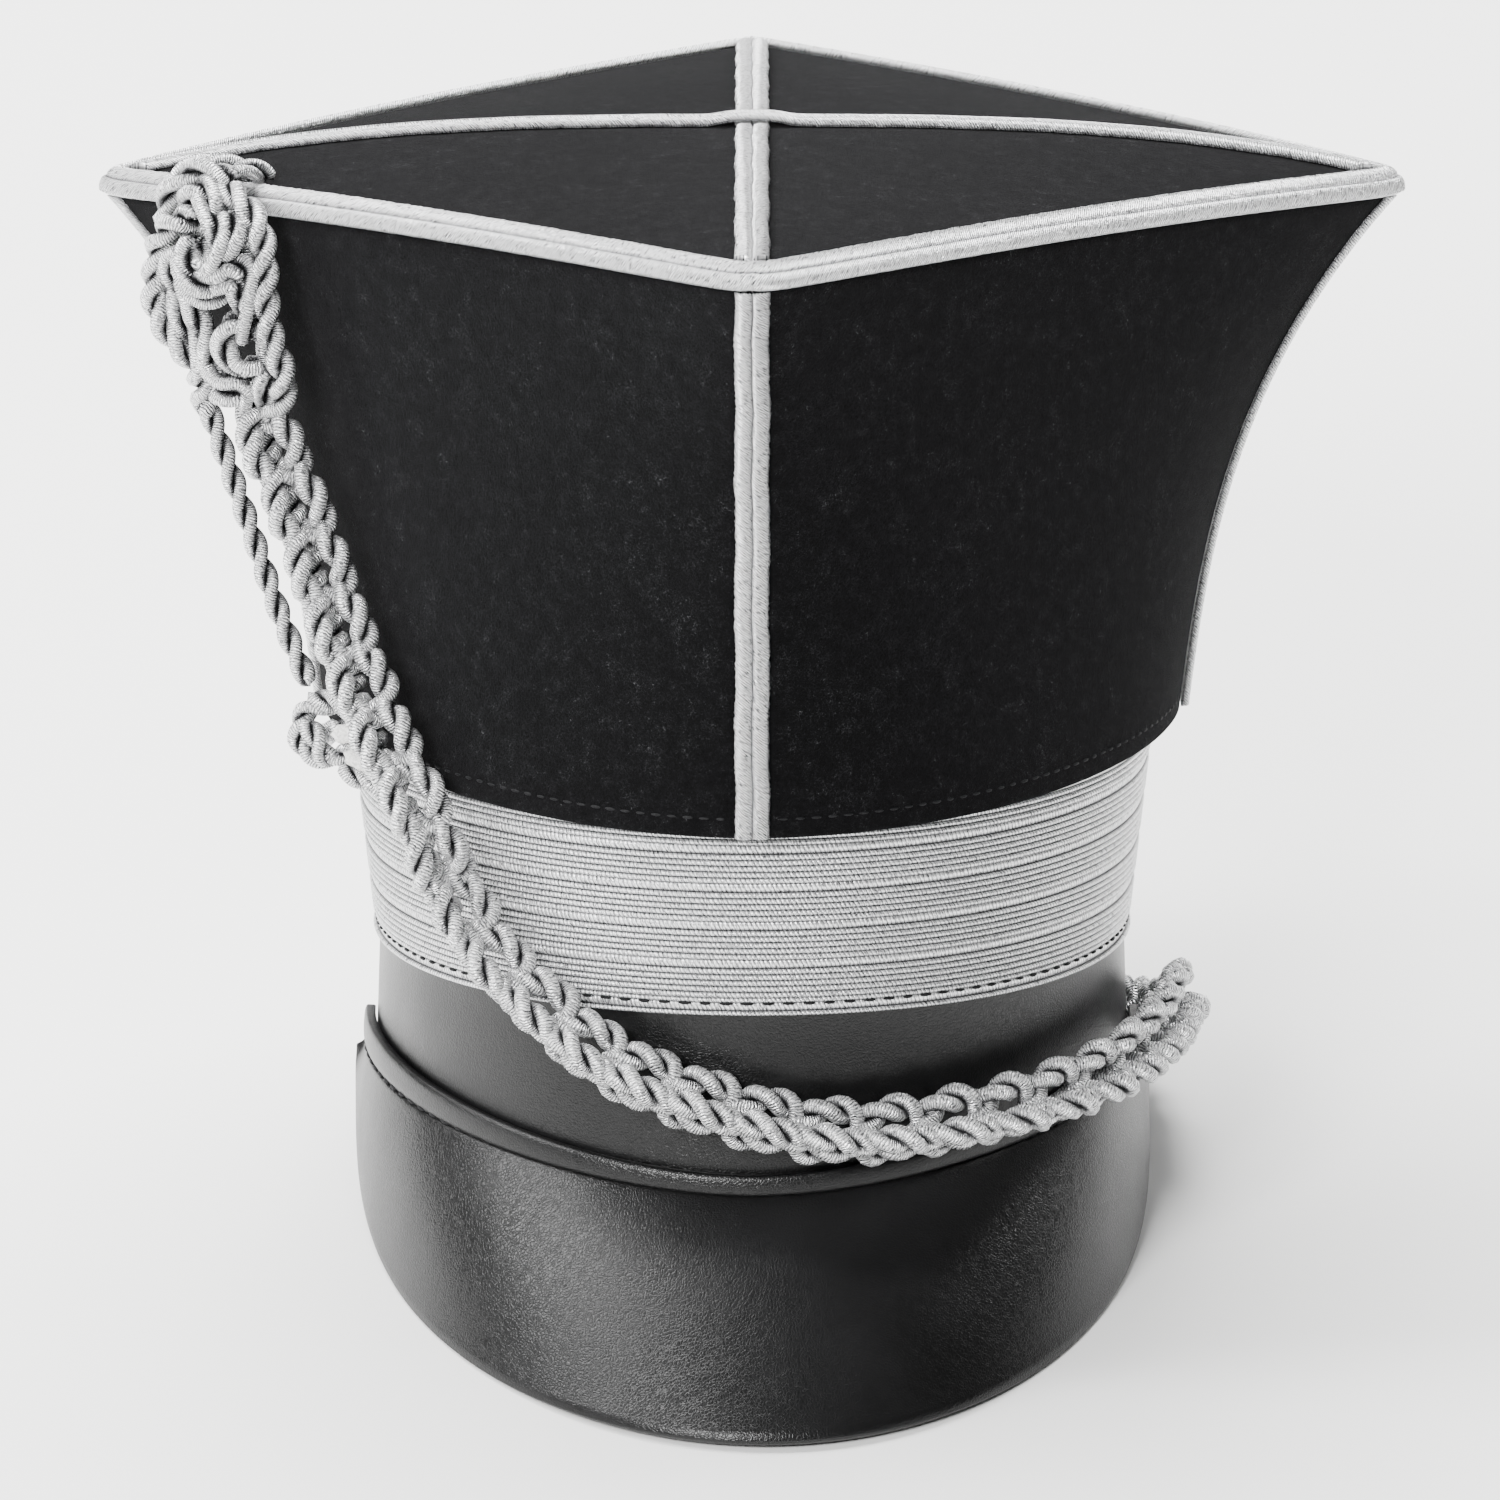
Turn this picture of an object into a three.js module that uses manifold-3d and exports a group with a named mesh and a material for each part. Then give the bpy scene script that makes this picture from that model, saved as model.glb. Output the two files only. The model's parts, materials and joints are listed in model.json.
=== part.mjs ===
// A square-topped lancer's cap: a leather body and peak, a silver galloon band, a flared felt crown with a domed
// square top, silver braid on its edges and seams, and a plaited silver cap line with a rosette.
// Units are millimetres. The cap is built upright, with its rim at z = 0, its front towards -Y and the wearer's
// left towards +X, and is then laid down as it rests by itself, on the tip of its peak and the back of its rim.
import * as THREE from "three";
import { mergeVertices } from "three/addons/utils/BufferGeometryUtils.js";
import Module from "manifold-3d";

const wasm = await Module();
wasm.setup();

// Driving dimensions
const GAP = 0.3; // between pieces that lie on each other
const LEATHER = 2.4;
const FELT = 2;
const BODY_RIM_HALF_WIDTH = 86.8; // outside
const BODY_WAIST_HALF_WIDTH = 85.2; // at the foot of the band
const BODY_DEPTH_SHARE = 1.16; // the head opening's depth over its width
const BODY_HEIGHT = 94;
const BODY_TOP_HALF_WIDTH = 90.6;
const BAND_FOOT_FRONT = 44.6;
const BAND_FOOT_SIDE = 41.6;
const BAND_THICKNESS = 1.3;
const BAND_TOP = 93.5;

const CROWN_FOOT_SIDE = 92.2; // height of the felt's lower edge at the side corners
const CROWN_FOOT_FRONT = 88.6; // and at the front and back corners
const CROWN_FOOT_HALF_WIDTH = 97.6;
const CROWN_FOOT_HALF_DEPTH = 115;
const CROWN_FOOT_ROUNDNESS = 1.8; // the section's exponent: 2 is an ellipse, 1 a square on its corner
const SQUARING_POWER = 0.8; // how soon above the foot the section grows square
const CROWN_TOP_HALF = 145.4; // from the middle to a corner of the square top
const CORNER_RADIUS = 4;
const FLARE_POWER = 2.8;
const FLARE_STRAIGHT_SHARE = 0.3; // of the flare that grows evenly with height
const TOP_CORNER_HEIGHT = 214.5; // of the side corners
const FRONT_CORNER_RISE = 5.4; // the front and back corners stand this much higher
const CORNER_RISE_POWER = 2.5; // how close to the side corners that difference is gone
const DOME_RISE = 11.8; // the middle of the top stands this much above the side corners
const DOME_POWER = 3; // of the fall from the middle to the edges

const BRAID_WIDTH = 7.6;
const BRAID_THICKNESS = 1.9;
const EDGE_BRAID_ARM = 3.2; // of the braid folded over the top's edge
const BRAID_END_GAP = 0.6; // between a braid's end and the edge braid

const PEAK_THICKNESS = 2.2;
const PEAK_GAP = 0.5; // between the lip and the body
const PEAK_LINE_FRONT = 8.4; // height of the peak's upper edge at the front
const PEAK_LINE_RISE = 12.4; // and how much higher it is at the temples
const PEAK_LINE_POWER = 1.64; // how late the line climbs towards the temples
const PEAK_LIP_FRONT = 5; // the stitched lip's height at the front
const PEAK_LIP_SIDE = 7.5;
const PEAK_REACH = 45; // forward of the body
const PEAK_DROP = 48.6; // of its tip below its upper edge
const PEAK_EDGE_POWER = 0.36; // how soon the edge falls from the temples towards the tip
const PEAK_END_DROP = 1.5; // of the edge's two ends below the lip's stitches
const PEAK_HALF_WIDTH = 89.2;
const PEAK_SKEW = 2.6; // the tip's offset to the wearer's left
const PEAK_BULGE = 1.4;

const PLAIT_DIAMETER = 15;
const CORD_DIAMETER = 5.4;

// The plaited line's route, upright: from the rosette down over the band and the front of the body, past the
// peak's upper edge, and round the back up to its end knot.
const PLAIT_ROUTE = [
  [-109.6, -43, 171],
  [-107.6, -45.6, 165.2],
  [-103.4, -49, 155.6],
  [-98.2, -53.4, 143],
  [-93.2, -58.6, 128.6],
  [-87.9, -65, 115.4],
  [-80.4, -77.6, 99.2],
  [-73.2, -84.6, 85.7],
  [-67.6, -81.4, 70.8],
  [-59.2, -87.2, 56.1],
  [-46.7, -94.7, 44.7],
  [-33.4, -101.2, 35],
  [-19.7, -105.4, 29],
  [-2.7, -107.8, 23.6],
  [11.5, -107.3, 20],
  [27, -104.8, 18.6],
  [43.8, -98.2, 19.2],
  [58, -89.3, 20],
  [70.9, -77, 21.3],
  [80.6, -63, 22.6],
  [88.5, -44.8, 24.2],
  [93, -27.8, 25],
  [95, -13, 25.2],
  [96.6, 0, 22.8],
  [94.6, 11, 17],
  [90.8, 32, 9.8],
  [79, 60.2, 8.2],
  [56, 87.9, 12.2],
  [25.8, 104.4, 22.4],
  [-3.6, 109, 36.6],
  [-30.6, 104.6, 52],
  [-48, 96.4, 63.6],
  [-56.2, 91.4, 69.2],
];

const END_KNOT = { at: [-68.1, 82.6, 73.5], radii: [9.5, 8.6, 8] };

// The single twisted cord, from the rosette to the side knot, and its other stretch, from the side knot round the
// wearer's right to the end knot.
const HANGING_CORD_ROUTE = [
  [-122.7, -30.9, 170],
  [-118.4, -32.6, 157.4],
  [-114.4, -35, 146.1],
  [-110.6, -37.4, 135.3],
  [-107.2, -40, 125.6],
  [-103.1, -43, 115.6],
  [-99.4, -45.6, 107.4],
];
const RETURN_CORD_ROUTE = [
  [-99.2, -39.8, 93],
  [-99.4, -32.6, 91.2],
  [-99.4, -24, 89.4],
  [-97.6, -12, 87.4],
  [-95, 2, 85.8],
  [-92.7, 22, 84],
  [-86.7, 44, 81.2],
  [-78.3, 63.5, 77.6],
  [-75.4, 71.6, 76],
];
const SIDE_KNOT = {
  at: [-92.6, -55.4, 98.5],
  radii: [8, 7, 9.5],
  bight: [-96.6, -46, 96.8],
  bightRadius: 5,
  bightTurn: 0.95, // about the upright axis, towards the wearer's right
};

const ROSETTE = {
  turn: 0.6, // about the upright axis, towards the wearer's right
  at: [-121.8, -39.6, 207.6],
  radii: [15, 6.4, 16],
  ring: [-120.8, -38.4, 186.6],
  ringRadii: [8.2, 12],
  strand: 4.6,
  hook: [
    [-124, -37.5, 214.5],
    [-121.2, -34, 221.6],
    [-117, -30, 223.4],
    [-112, -25.5, 223.2],
    [-108, -21.8, 222.4],
  ],
  hookOffsets: [-3.2, 3.2], // of the two strands along the top's edge
};

function lerp(a, b, t) {
  return a + (b - a) * t;
}

// A closed solid through a row of outlines with equal numbers of points. An outline runs along one face of the
// piece and back along the other, so that its first and last points are neighbours across the thickness.
function loft(outlines, closed = false) {
  const count = outlines[0].length;
  const rows = outlines.length;
  const at = (row, i) => (row % rows) * count + (i % count);
  const faces = [];
  for (let row = 0; row < (closed ? rows : rows - 1); row += 1) {
    for (let i = 0; i < count; i += 1) {
      faces.push([at(row, i), at(row, i + 1), at(row + 1, i + 1)]);
      faces.push([at(row, i), at(row + 1, i + 1), at(row + 1, i)]);
    }
  }
  if (!closed) {
    for (let i = 0; i < count / 2 - 1; i += 1) {
      const corners = [i, i + 1, count - 2 - i, count - 1 - i];
      const [a, b, c, d] = corners.map((corner) => at(0, corner));
      const [e, f, g, h] = corners.map((corner) => at(rows - 1, corner));
      faces.push([a, c, b], [a, d, c], [e, f, g], [e, g, h]);
    }
  }
  const points = outlines.flat();
  let volume = 0;
  for (const [a, b, c] of faces) {
    volume += points[a].dot(new THREE.Vector3().crossVectors(points[b], points[c]));
  }
  const index = volume > 0 ? faces.flat() : faces.flatMap(([a, b, c]) => [a, c, b]);
  const geometry = new THREE.BufferGeometry().setFromPoints(points);
  geometry.setIndex(index);
  geometry.computeVertexNormals();
  return geometry;
}

// The numbers from first to last, both kept, in equal steps.
function steps(first, last, count) {
  return Array.from({ length: count + 1 }, (_, i) => lerp(first, last, i / count));
}

// Rounds the corner of |value| to the radius given.
function soft(value, radius) {
  return Math.hypot(value, radius);
}

// The crown's section at a height share from 0 at its foot to 1 at its top, moved out by an offset.
function crownSection(share, offset) {
  const flare = lerp(share ** FLARE_POWER, share, FLARE_STRAIGHT_SHARE);
  const round = CORNER_RADIUS + offset * (Math.SQRT2 - 1) * flare;
  const exponent = lerp(CROWN_FOOT_ROUNDNESS, 1, share ** SQUARING_POWER);
  // The curve's own half axes, for which the rounded corners lie at the reaches wanted.
  const across = soft(lerp(CROWN_FOOT_HALF_WIDTH, CROWN_TOP_HALF, flare) + offset, round) ** exponent;
  const along = soft(lerp(CROWN_FOOT_HALF_DEPTH, CROWN_TOP_HALF, flare) + offset, round) ** exponent;
  const corner = round ** exponent;
  const whole = across * along - corner * corner;
  return {
    round,
    exponent,
    halfWidth: (whole / (along - corner)) ** (1 / exponent),
    halfDepth: (whole / (across - corner)) ** (1 / exponent),
  };
}

// How far the section reaches at an angle from +X.
function sectionRadius(section, angle) {
  const { round, exponent, halfWidth, halfDepth } = section;
  let near = 0;
  let far = halfWidth + halfDepth;
  for (let i = 0; i < 40; i += 1) {
    const r = (near + far) / 2;
    const x = soft(r * Math.cos(angle), round) / halfWidth;
    const y = soft(r * Math.sin(angle), round) / halfDepth;
    if (x ** exponent + y ** exponent < 1) {
      near = r;
    } else {
      far = r;
    }
  }
  return near;
}

// The height of the top's surface over a point of the plan.
function topHeight(x, y) {
  const across = Math.abs(x) / CROWN_TOP_HALF;
  const along = Math.abs(y) / CROWN_TOP_HALF;
  const out = across + along;
  const sideways = out > 0 ? across / out : 0;
  const frontDrop = DOME_RISE - FRONT_CORNER_RISE;
  const drop = frontDrop + FRONT_CORNER_RISE * sideways ** CORNER_RISE_POWER;
  return TOP_CORNER_HEIGHT + DOME_RISE - drop * out ** DOME_POWER;
}

function crownFootHeight(angle) {
  return lerp(CROWN_FOOT_FRONT, CROWN_FOOT_SIDE, Math.cos(angle) ** 2);
}

// A point of the crown's wall at an angle and height share, moved out by an offset.
function crownPoint(angle, share, offset = 0) {
  const top = sectionRadius(crownSection(1, 0), angle);
  const head = topHeight(top * Math.cos(angle), top * Math.sin(angle)) - FELT - GAP;
  const r = sectionRadius(crownSection(share, offset), angle);
  const z = lerp(crownFootHeight(angle), head, share);
  return new THREE.Vector3(r * Math.cos(angle), r * Math.sin(angle), z);
}

// The body narrows a little from its rim to the band's foot, and spreads again under the crown.
function bodyHalfWidth(z) {
  if (z < BAND_FOOT_FRONT) {
    return lerp(BODY_RIM_HALF_WIDTH, BODY_WAIST_HALF_WIDTH, z / BAND_FOOT_FRONT);
  }
  const up = (z - BAND_FOOT_FRONT) / (BODY_HEIGHT - BAND_FOOT_FRONT);
  return lerp(BODY_WAIST_HALF_WIDTH, BODY_TOP_HALF_WIDTH, up);
}

// A point of the oval body at an angle from +X, moved out by an offset.
function bodyPoint(angle, z, offset) {
  const halfWidth = bodyHalfWidth(z);
  const x = (halfWidth + offset) * Math.cos(angle);
  const y = (halfWidth * BODY_DEPTH_SHARE + offset) * Math.sin(angle);
  return new THREE.Vector3(x, y, z);
}

const OVAL_STEPS = 60;

// An oval wall between two offsets from the body, through the heights given for an angle.
function ovalWall(heightsAt, inside, outside) {
  const rings = steps(0, 2 * Math.PI, OVAL_STEPS).slice(0, -1).map((angle) => {
    const heights = heightsAt(angle);
    const outer = heights.map((z) => bodyPoint(angle, z, outside));
    const inner = heights.map((z) => bodyPoint(angle, z, inside)).reverse();
    return [...outer, ...inner];
  });
  return loft(rings, true);
}

function makeBody() {
  return ovalWall(() => [0, BAND_FOOT_FRONT, BODY_HEIGHT], -LEATHER, 0);
}

function bandFoot(angle) {
  return lerp(BAND_FOOT_FRONT, BAND_FOOT_SIDE, Math.cos(angle) ** 2);
}

function makeBand() {
  const heightsAt = (angle) => [bandFoot(angle), BAND_FOOT_FRONT + 0.1, BAND_TOP];
  return ovalWall(heightsAt, GAP, GAP + BAND_THICKNESS);
}

const SEAM_GAP_ANGLE = 0.0015; // half the slit between two panels, in radians
const PANEL_COLUMNS = 12;
const PANEL_ROWS = 9;

function makeCrownPanel(quarter) {
  const start = (quarter * Math.PI) / 2 + SEAM_GAP_ANGLE;
  const end = ((quarter + 1) * Math.PI) / 2 - SEAM_GAP_ANGLE;
  const columns = steps(-1, 1, PANEL_COLUMNS).map((t) => {
    const eased = Math.sin((t * Math.PI) / 2);
    const angle = lerp(start, end, (eased + 1) / 2);
    const shares = steps(0, 1, PANEL_ROWS);
    const outer = shares.map((share) => crownPoint(angle, share));
    const inner = shares.map((share) => crownPoint(angle, share, -FELT)).reverse();
    return [...outer, ...inner];
  });
  return loft(columns);
}

const TOP_CELLS = 12;
const TOP_INSET = 1;

function makeTopPanel() {
  const half = CROWN_TOP_HALF - TOP_INSET;
  const plan = (u, v) => [((u - v) * half) / 2, ((u + v) * half) / 2];
  const ease = (t) => Math.sin((t * Math.PI) / 2);
  const columns = steps(-1, 1, TOP_CELLS).map((s) => {
    const line = steps(-1, 1, TOP_CELLS).map((t) => plan(ease(s), ease(t)));
    const over = line.map(([x, y]) => new THREE.Vector3(x, y, topHeight(x, y)));
    const under = line.map(([x, y]) => new THREE.Vector3(x, y, topHeight(x, y) - FELT)).reverse();
    return [...over, ...under];
  });
  return loft(columns);
}

// The braid folded over the top's edge: an angle section that hugs the corner between the top and the crown.
function makeEdgeBraid() {
  const thick = BRAID_THICKNESS + GAP;
  const outline = [
    [-EDGE_BRAID_ARM, GAP],
    [-EDGE_BRAID_ARM, thick - 0.4],
    [-EDGE_BRAID_ARM + 0.8, thick],
    [0, thick],
    [thick - 0.3, thick - 1],
    [thick, -EDGE_BRAID_ARM + 0.8],
    [thick - 0.4, -EDGE_BRAID_ARM],
    [GAP, -EDGE_BRAID_ARM],
    [0, GAP],
  ];
  const rings = [];
  for (let quarter = 0; quarter < 4; quarter += 1) {
    for (let i = 0; i < PANEL_COLUMNS; i += 1) {
      const eased = (1 - Math.cos((i / PANEL_COLUMNS) * Math.PI)) / 2;
      const angle = ((quarter + eased) * Math.PI) / 2;
      rings.push(
        outline.map(([out, up]) => {
          const r = sectionRadius(crownSection(1, out), angle);
          const edge = sectionRadius(crownSection(1, Math.min(out, 0)), angle);
          const z = topHeight(edge * Math.cos(angle), edge * Math.sin(angle)) + up;
          return new THREE.Vector3(r * Math.cos(angle), r * Math.sin(angle), z);
        }),
      );
    }
  }
  return loft(rings, true);
}

const BRAID_LANES = [-1, -0.75, -0.25, 0.25, 0.75, 1];

// The two heights of a flat braid's faces above what it lies on, thinner at its rims.
function braidLayers() {
  const half = BRAID_WIDTH / 2;
  const over = BRAID_LANES.map((lane) => [lane * half, GAP + BRAID_THICKNESS * (Math.abs(lane) < 1 ? 1 : 0.6)]);
  const under = BRAID_LANES.map((lane) => [lane * half, GAP]).reverse();
  return [...over, ...under];
}

// A braid across the top, from corner to corner. The lift raises it where it crosses the other one.
function makeTopBraid(turned, lift) {
  const inner = CROWN_TOP_HALF - (EDGE_BRAID_ARM + BRAID_END_GAP) * Math.SQRT2;
  const half = steps(0.1, 1, 8);
  const shares = [...half.map((t) => -t).reverse(), -0.045, 0, 0.045, ...half];
  const rows = shares.map((t) =>
    braidLayers().map(([side, up]) => {
      const along = t * (inner - Math.abs(side));
      const rise = Math.abs(t) < 0.1 ? lift : 0;
      const [x, y] = turned ? [-side, along] : [along, side];
      return new THREE.Vector3(x, y, topHeight(x, y) + up + rise);
    }),
  );
  return loft(rows);
}

// The braid down a corner of the crown, which follows the rounded corner.
function makeCornerBraid(corner) {
  const angle = (corner * Math.PI) / 2;
  const sideways = corner % 2 === 0;
  const tipHeight = crownPoint(angle, 1).z;
  const footHeight = crownPoint(angle, 0).z;
  const stop = 1 - (EDGE_BRAID_ARM - FELT + BRAID_END_GAP) / (tipHeight - footHeight);
  const shares = [0.002, ...steps(0, 1, PANEL_ROWS).slice(1, -1), stop];
  const rows = shares.map((share) => {
    const z = lerp(footHeight, tipHeight, share);
    return braidLayers().map(([side, up]) => {
      const section = crownSection(share, up);
      const length = sideways ? section.halfWidth : section.halfDepth;
      const width = sideways ? section.halfDepth : section.halfWidth;
      const rest = 1 - (soft(side, section.round) / width) ** section.exponent;
      const reach = Math.sqrt((length * rest ** (1 / section.exponent)) ** 2 - section.round ** 2);
      const cos = Math.cos(angle);
      const sin = Math.sin(angle);
      return new THREE.Vector3(reach * cos - side * sin, reach * sin + side * cos, z);
    });
  });
  return loft(rows);
}

// A point of the peak's inner face. The turn goes from -90 degrees at the wearer's right temple to 90 at the left,
// and the run from -1 at the lip's upper edge through 0 at the stitches to 1 at the peak's edge.
function peakInnerPoint(turn, run) {
  const side = Math.sin(turn);
  const front = -Math.cos(turn);
  const line = PEAK_LINE_FRONT + PEAK_LINE_RISE * Math.abs(side) ** PEAK_LINE_POWER;
  const lip = lerp(PEAK_LIP_FRONT, PEAK_LIP_SIDE, side ** 2);
  const bend = line - lip;
  if (run <= 0) {
    const z = line - (1 + run) * lip;
    return bodyPoint(turn - Math.PI / 2, z, PEAK_GAP);
  }
  const seam = bodyPoint(turn - Math.PI / 2, bend, PEAK_GAP);
  const reach = BODY_RIM_HALF_WIDTH * BODY_DEPTH_SHARE + PEAK_REACH;
  const endHeight = PEAK_LINE_FRONT + PEAK_LINE_RISE - PEAK_LIP_SIDE - PEAK_END_DROP;
  const tipHeight = PEAK_LINE_FRONT - PEAK_DROP;
  const edgeHeight = lerp(endHeight, tipHeight, Math.max(0, -front) ** PEAK_EDGE_POWER);
  const edge = new THREE.Vector3(PEAK_HALF_WIDTH * side - PEAK_SKEW * front, reach * front, edgeHeight);
  const out = Math.sin(run * Math.PI) * PEAK_BULGE;
  return seam.lerp(edge, run).add(new THREE.Vector3(out * side * 0.5, out * front, out * 0.6));
}

const PEAK_COLUMNS = 44;

function makePeak() {
  const runs = [-1, -0.5, 0, 0.15, 0.35, 0.6, 0.82, 1];
  const small = 1e-3;
  const columns = steps(-1, 1, PEAK_COLUMNS).map((t) => {
    const turn = (Math.sin((t * Math.PI) / 2) * Math.PI) / 2;
    const inner = runs.map((run) => peakInnerPoint(turn, run));
    const outer = runs.map((run) => {
      const sample = Math.max(-1 + small, Math.min(1 - small, run));
      const along = peakInnerPoint(turn, sample + small).sub(peakInnerPoint(turn, sample - small));
      const across = peakInnerPoint(turn + small, sample).sub(peakInnerPoint(turn - small, sample));
      const normal = along.cross(across).normalize();
      return peakInnerPoint(turn, run).addScaledVector(normal, PEAK_THICKNESS);
    });
    return [...inner, ...outer.reverse()];
  });
  return loft(columns);
}

// A tube along an open route.
function tube(points, radius, sides, stepCount) {
  const curve = new THREE.CatmullRomCurve3(points.map((point) => new THREE.Vector3(...point)));
  const circle = new THREE.Shape(
    steps(0, 2 * Math.PI, sides).slice(1).map((a) => new THREE.Vector2(radius * Math.cos(a), radius * Math.sin(a))),
  );
  return new THREE.ExtrudeGeometry(circle, { steps: stepCount, extrudePath: curve });
}

function ellipsoid({ at, radii }) {
  return new THREE.SphereGeometry(1, 14, 9).scale(...radii).translate(...at);
}

function solid(geometry) {
  const bare = geometry.index ? geometry.clone() : mergeVertices(geometry.clone().deleteAttribute("normal"));
  bare.deleteAttribute("normal");
  bare.deleteAttribute("uv");
  const merged = mergeVertices(bare, 1e-3);
  const mesh = new wasm.Mesh({
    numProp: 3,
    vertProperties: merged.attributes.position.array,
    triVerts: new Uint32Array(merged.index.array),
  });
  return new wasm.Manifold(mesh);
}

function geometryOf(manifold) {
  const mesh = manifold.getMesh();
  const geometry = new THREE.BufferGeometry();
  geometry.setAttribute("position", new THREE.BufferAttribute(new Float32Array(mesh.vertProperties), 3));
  geometry.setIndex(new THREE.BufferAttribute(new Uint32Array(mesh.triVerts), 1));
  geometry.computeVertexNormals();
  return geometry;
}

// The plait's own space, with the gap that its neighbours keep.
function plaitSpace(first, last) {
  const points = PLAIT_ROUTE.slice(first, last);
  return solid(tube(points, PLAIT_DIAMETER / 2 + GAP, 12, (last - first) * 3));
}

// The rosette: a knot over a ring of cord, with two strands that go over the top's edge and hold it there.
function makeRosette() {
  const knot = new THREE.SphereGeometry(1, 16, 10).scale(...ROSETTE.radii).rotateZ(-ROSETTE.turn);
  knot.translate(...ROSETTE.at);
  const ring = new THREE.TorusGeometry(1, ROSETTE.strand / ROSETTE.ringRadii[0], 8, 20);
  ring.scale(ROSETTE.ringRadii[0], ROSETTE.ringRadii[1], ROSETTE.ringRadii[0]);
  ring.rotateX(Math.PI / 2).rotateZ(-ROSETTE.turn).translate(...ROSETTE.ring);
  let whole = solid(knot).add(solid(ring));
  for (const along of ROSETTE.hookOffsets) {
    const hook = ROSETTE.hook.map(([x, y, z]) => [x + along, y - along, z]);
    whole = whole.add(solid(tube(hook, CORD_DIAMETER / 2, 8, 6)));
  }
  return geometryOf(whole.subtract(plaitSpace(0, 4)));
}

function makeSideKnot() {
  const bight = new THREE.TorusGeometry(SIDE_KNOT.bightRadius, CORD_DIAMETER / 2, 8, 14);
  bight.rotateX(Math.PI / 2).rotateZ(-SIDE_KNOT.bightTurn).translate(...SIDE_KNOT.bight);
  return geometryOf(solid(ellipsoid(SIDE_KNOT)).add(solid(bight)).subtract(plaitSpace(3, 9)));
}

const FELT_LOOK = { color: 0x17171a, roughness: 0.95, metalness: 0 };
const LEATHER_LOOK = { color: 0x1b1b1d, roughness: 0.45, metalness: 0 };
const SILVER_LOOK = { color: 0xc8c9cb, roughness: 0.45, metalness: 0.7 };

// The free cords and the knots on them
const CORD_PIECES = ["cap_line_plait", "hanging_cord", "return_cord", "side_knot", "end_knot"];

const cap = new THREE.Group();

function add(name, geometry, look) {
  const mesh = new THREE.Mesh(geometry, new THREE.MeshStandardMaterial(look));
  mesh.name = name;
  cap.add(mesh);
  return mesh;
}

const body = add("body", makeBody(), LEATHER_LOOK);
add("galloon_band", makeBand(), SILVER_LOOK);
const PANEL_NAMES = ["back_left", "back_right", "front_right", "front_left"];
PANEL_NAMES.forEach((name, quarter) => add(`crown_panel_${name}`, makeCrownPanel(quarter), FELT_LOOK));
add("top_panel", makeTopPanel(), FELT_LOOK);
add("top_edge_braid", makeEdgeBraid(), SILVER_LOOK);
add("top_braid_front_to_back", makeTopBraid(true, 0), SILVER_LOOK);
add("top_braid_side_to_side", makeTopBraid(false, BRAID_THICKNESS + 2 * GAP), SILVER_LOOK);
const CORNER_NAMES = ["left", "back", "right", "front"];
CORNER_NAMES.forEach((name, corner) => add(`corner_braid_${name}`, makeCornerBraid(corner), SILVER_LOOK));
const peak = add("peak", makePeak(), LEATHER_LOOK);

add("rosette", makeRosette(), SILVER_LOOK);
add("cap_line_plait", tube(PLAIT_ROUTE, PLAIT_DIAMETER / 2, 10, 60), SILVER_LOOK);
add("side_knot", makeSideKnot(), SILVER_LOOK);
add("end_knot", ellipsoid(END_KNOT), SILVER_LOOK);
add("hanging_cord", tube(HANGING_CORD_ROUTE, CORD_DIAMETER / 2, 8, 9), SILVER_LOOK);
add("return_cord", tube(RETURN_CORD_ROUTE, CORD_DIAMETER / 2, 8, 14), SILVER_LOOK);

function lowest(node, tilt) {
  const turned = node.geometry.clone().rotateX(-tilt);
  turned.computeBoundingBox();
  return turned.boundingBox.min.z;
}

// The backward tilt at which the peak and the rim reach equally low.
function restingTilt() {
  let small = 0;
  let large = 0.4;
  for (let i = 0; i < 40; i += 1) {
    const tilt = (small + large) / 2;
    if (lowest(peak, tilt) < lowest(body, tilt)) {
      small = tilt;
    } else {
      large = tilt;
    }
  }
  return small;
}

// Lays the cap down, with its origin on the surface under the middle of its pieces without the cords.
function layDown() {
  cap.rotation.x = -restingTilt();
  cap.updateMatrixWorld(true);
  const box = new THREE.Box3();
  cap.children
    .filter((mesh) => !CORD_PIECES.includes(mesh.name))
    .forEach((mesh) => box.expandByObject(mesh, true));
  const middle = box.getCenter(new THREE.Vector3());
  cap.position.set(-middle.x, -middle.y, -box.min.z);
}

layDown();
const part = new THREE.Group();
part.add(cap);

export default part;
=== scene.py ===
import json
import math

import bpy
import numpy as np
from mathutils import Matrix, Vector


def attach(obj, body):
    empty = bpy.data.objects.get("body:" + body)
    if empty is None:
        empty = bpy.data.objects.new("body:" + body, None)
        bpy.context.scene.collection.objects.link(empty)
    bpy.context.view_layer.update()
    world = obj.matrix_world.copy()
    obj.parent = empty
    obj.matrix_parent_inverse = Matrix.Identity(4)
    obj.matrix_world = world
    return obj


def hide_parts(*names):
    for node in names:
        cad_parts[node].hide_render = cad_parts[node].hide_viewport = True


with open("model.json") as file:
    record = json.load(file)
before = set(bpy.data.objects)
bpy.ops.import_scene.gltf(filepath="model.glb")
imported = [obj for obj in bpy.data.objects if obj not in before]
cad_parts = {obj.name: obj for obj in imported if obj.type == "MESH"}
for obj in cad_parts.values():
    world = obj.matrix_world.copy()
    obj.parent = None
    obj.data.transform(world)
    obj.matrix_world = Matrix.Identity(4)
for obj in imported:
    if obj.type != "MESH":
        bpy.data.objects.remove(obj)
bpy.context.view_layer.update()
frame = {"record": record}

# Sizes are millimetres on the upright cap: rim at z = 0, front towards -Y, wearer's left towards +X.
MM = 0.001
GAP = 0.3  # between a piece and what it lies on
LEATHER = 2.4  # wall thickness
FELT = 2.0  # wall thickness
BODY_RIM_HALF_WIDTH = 86.8
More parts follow.
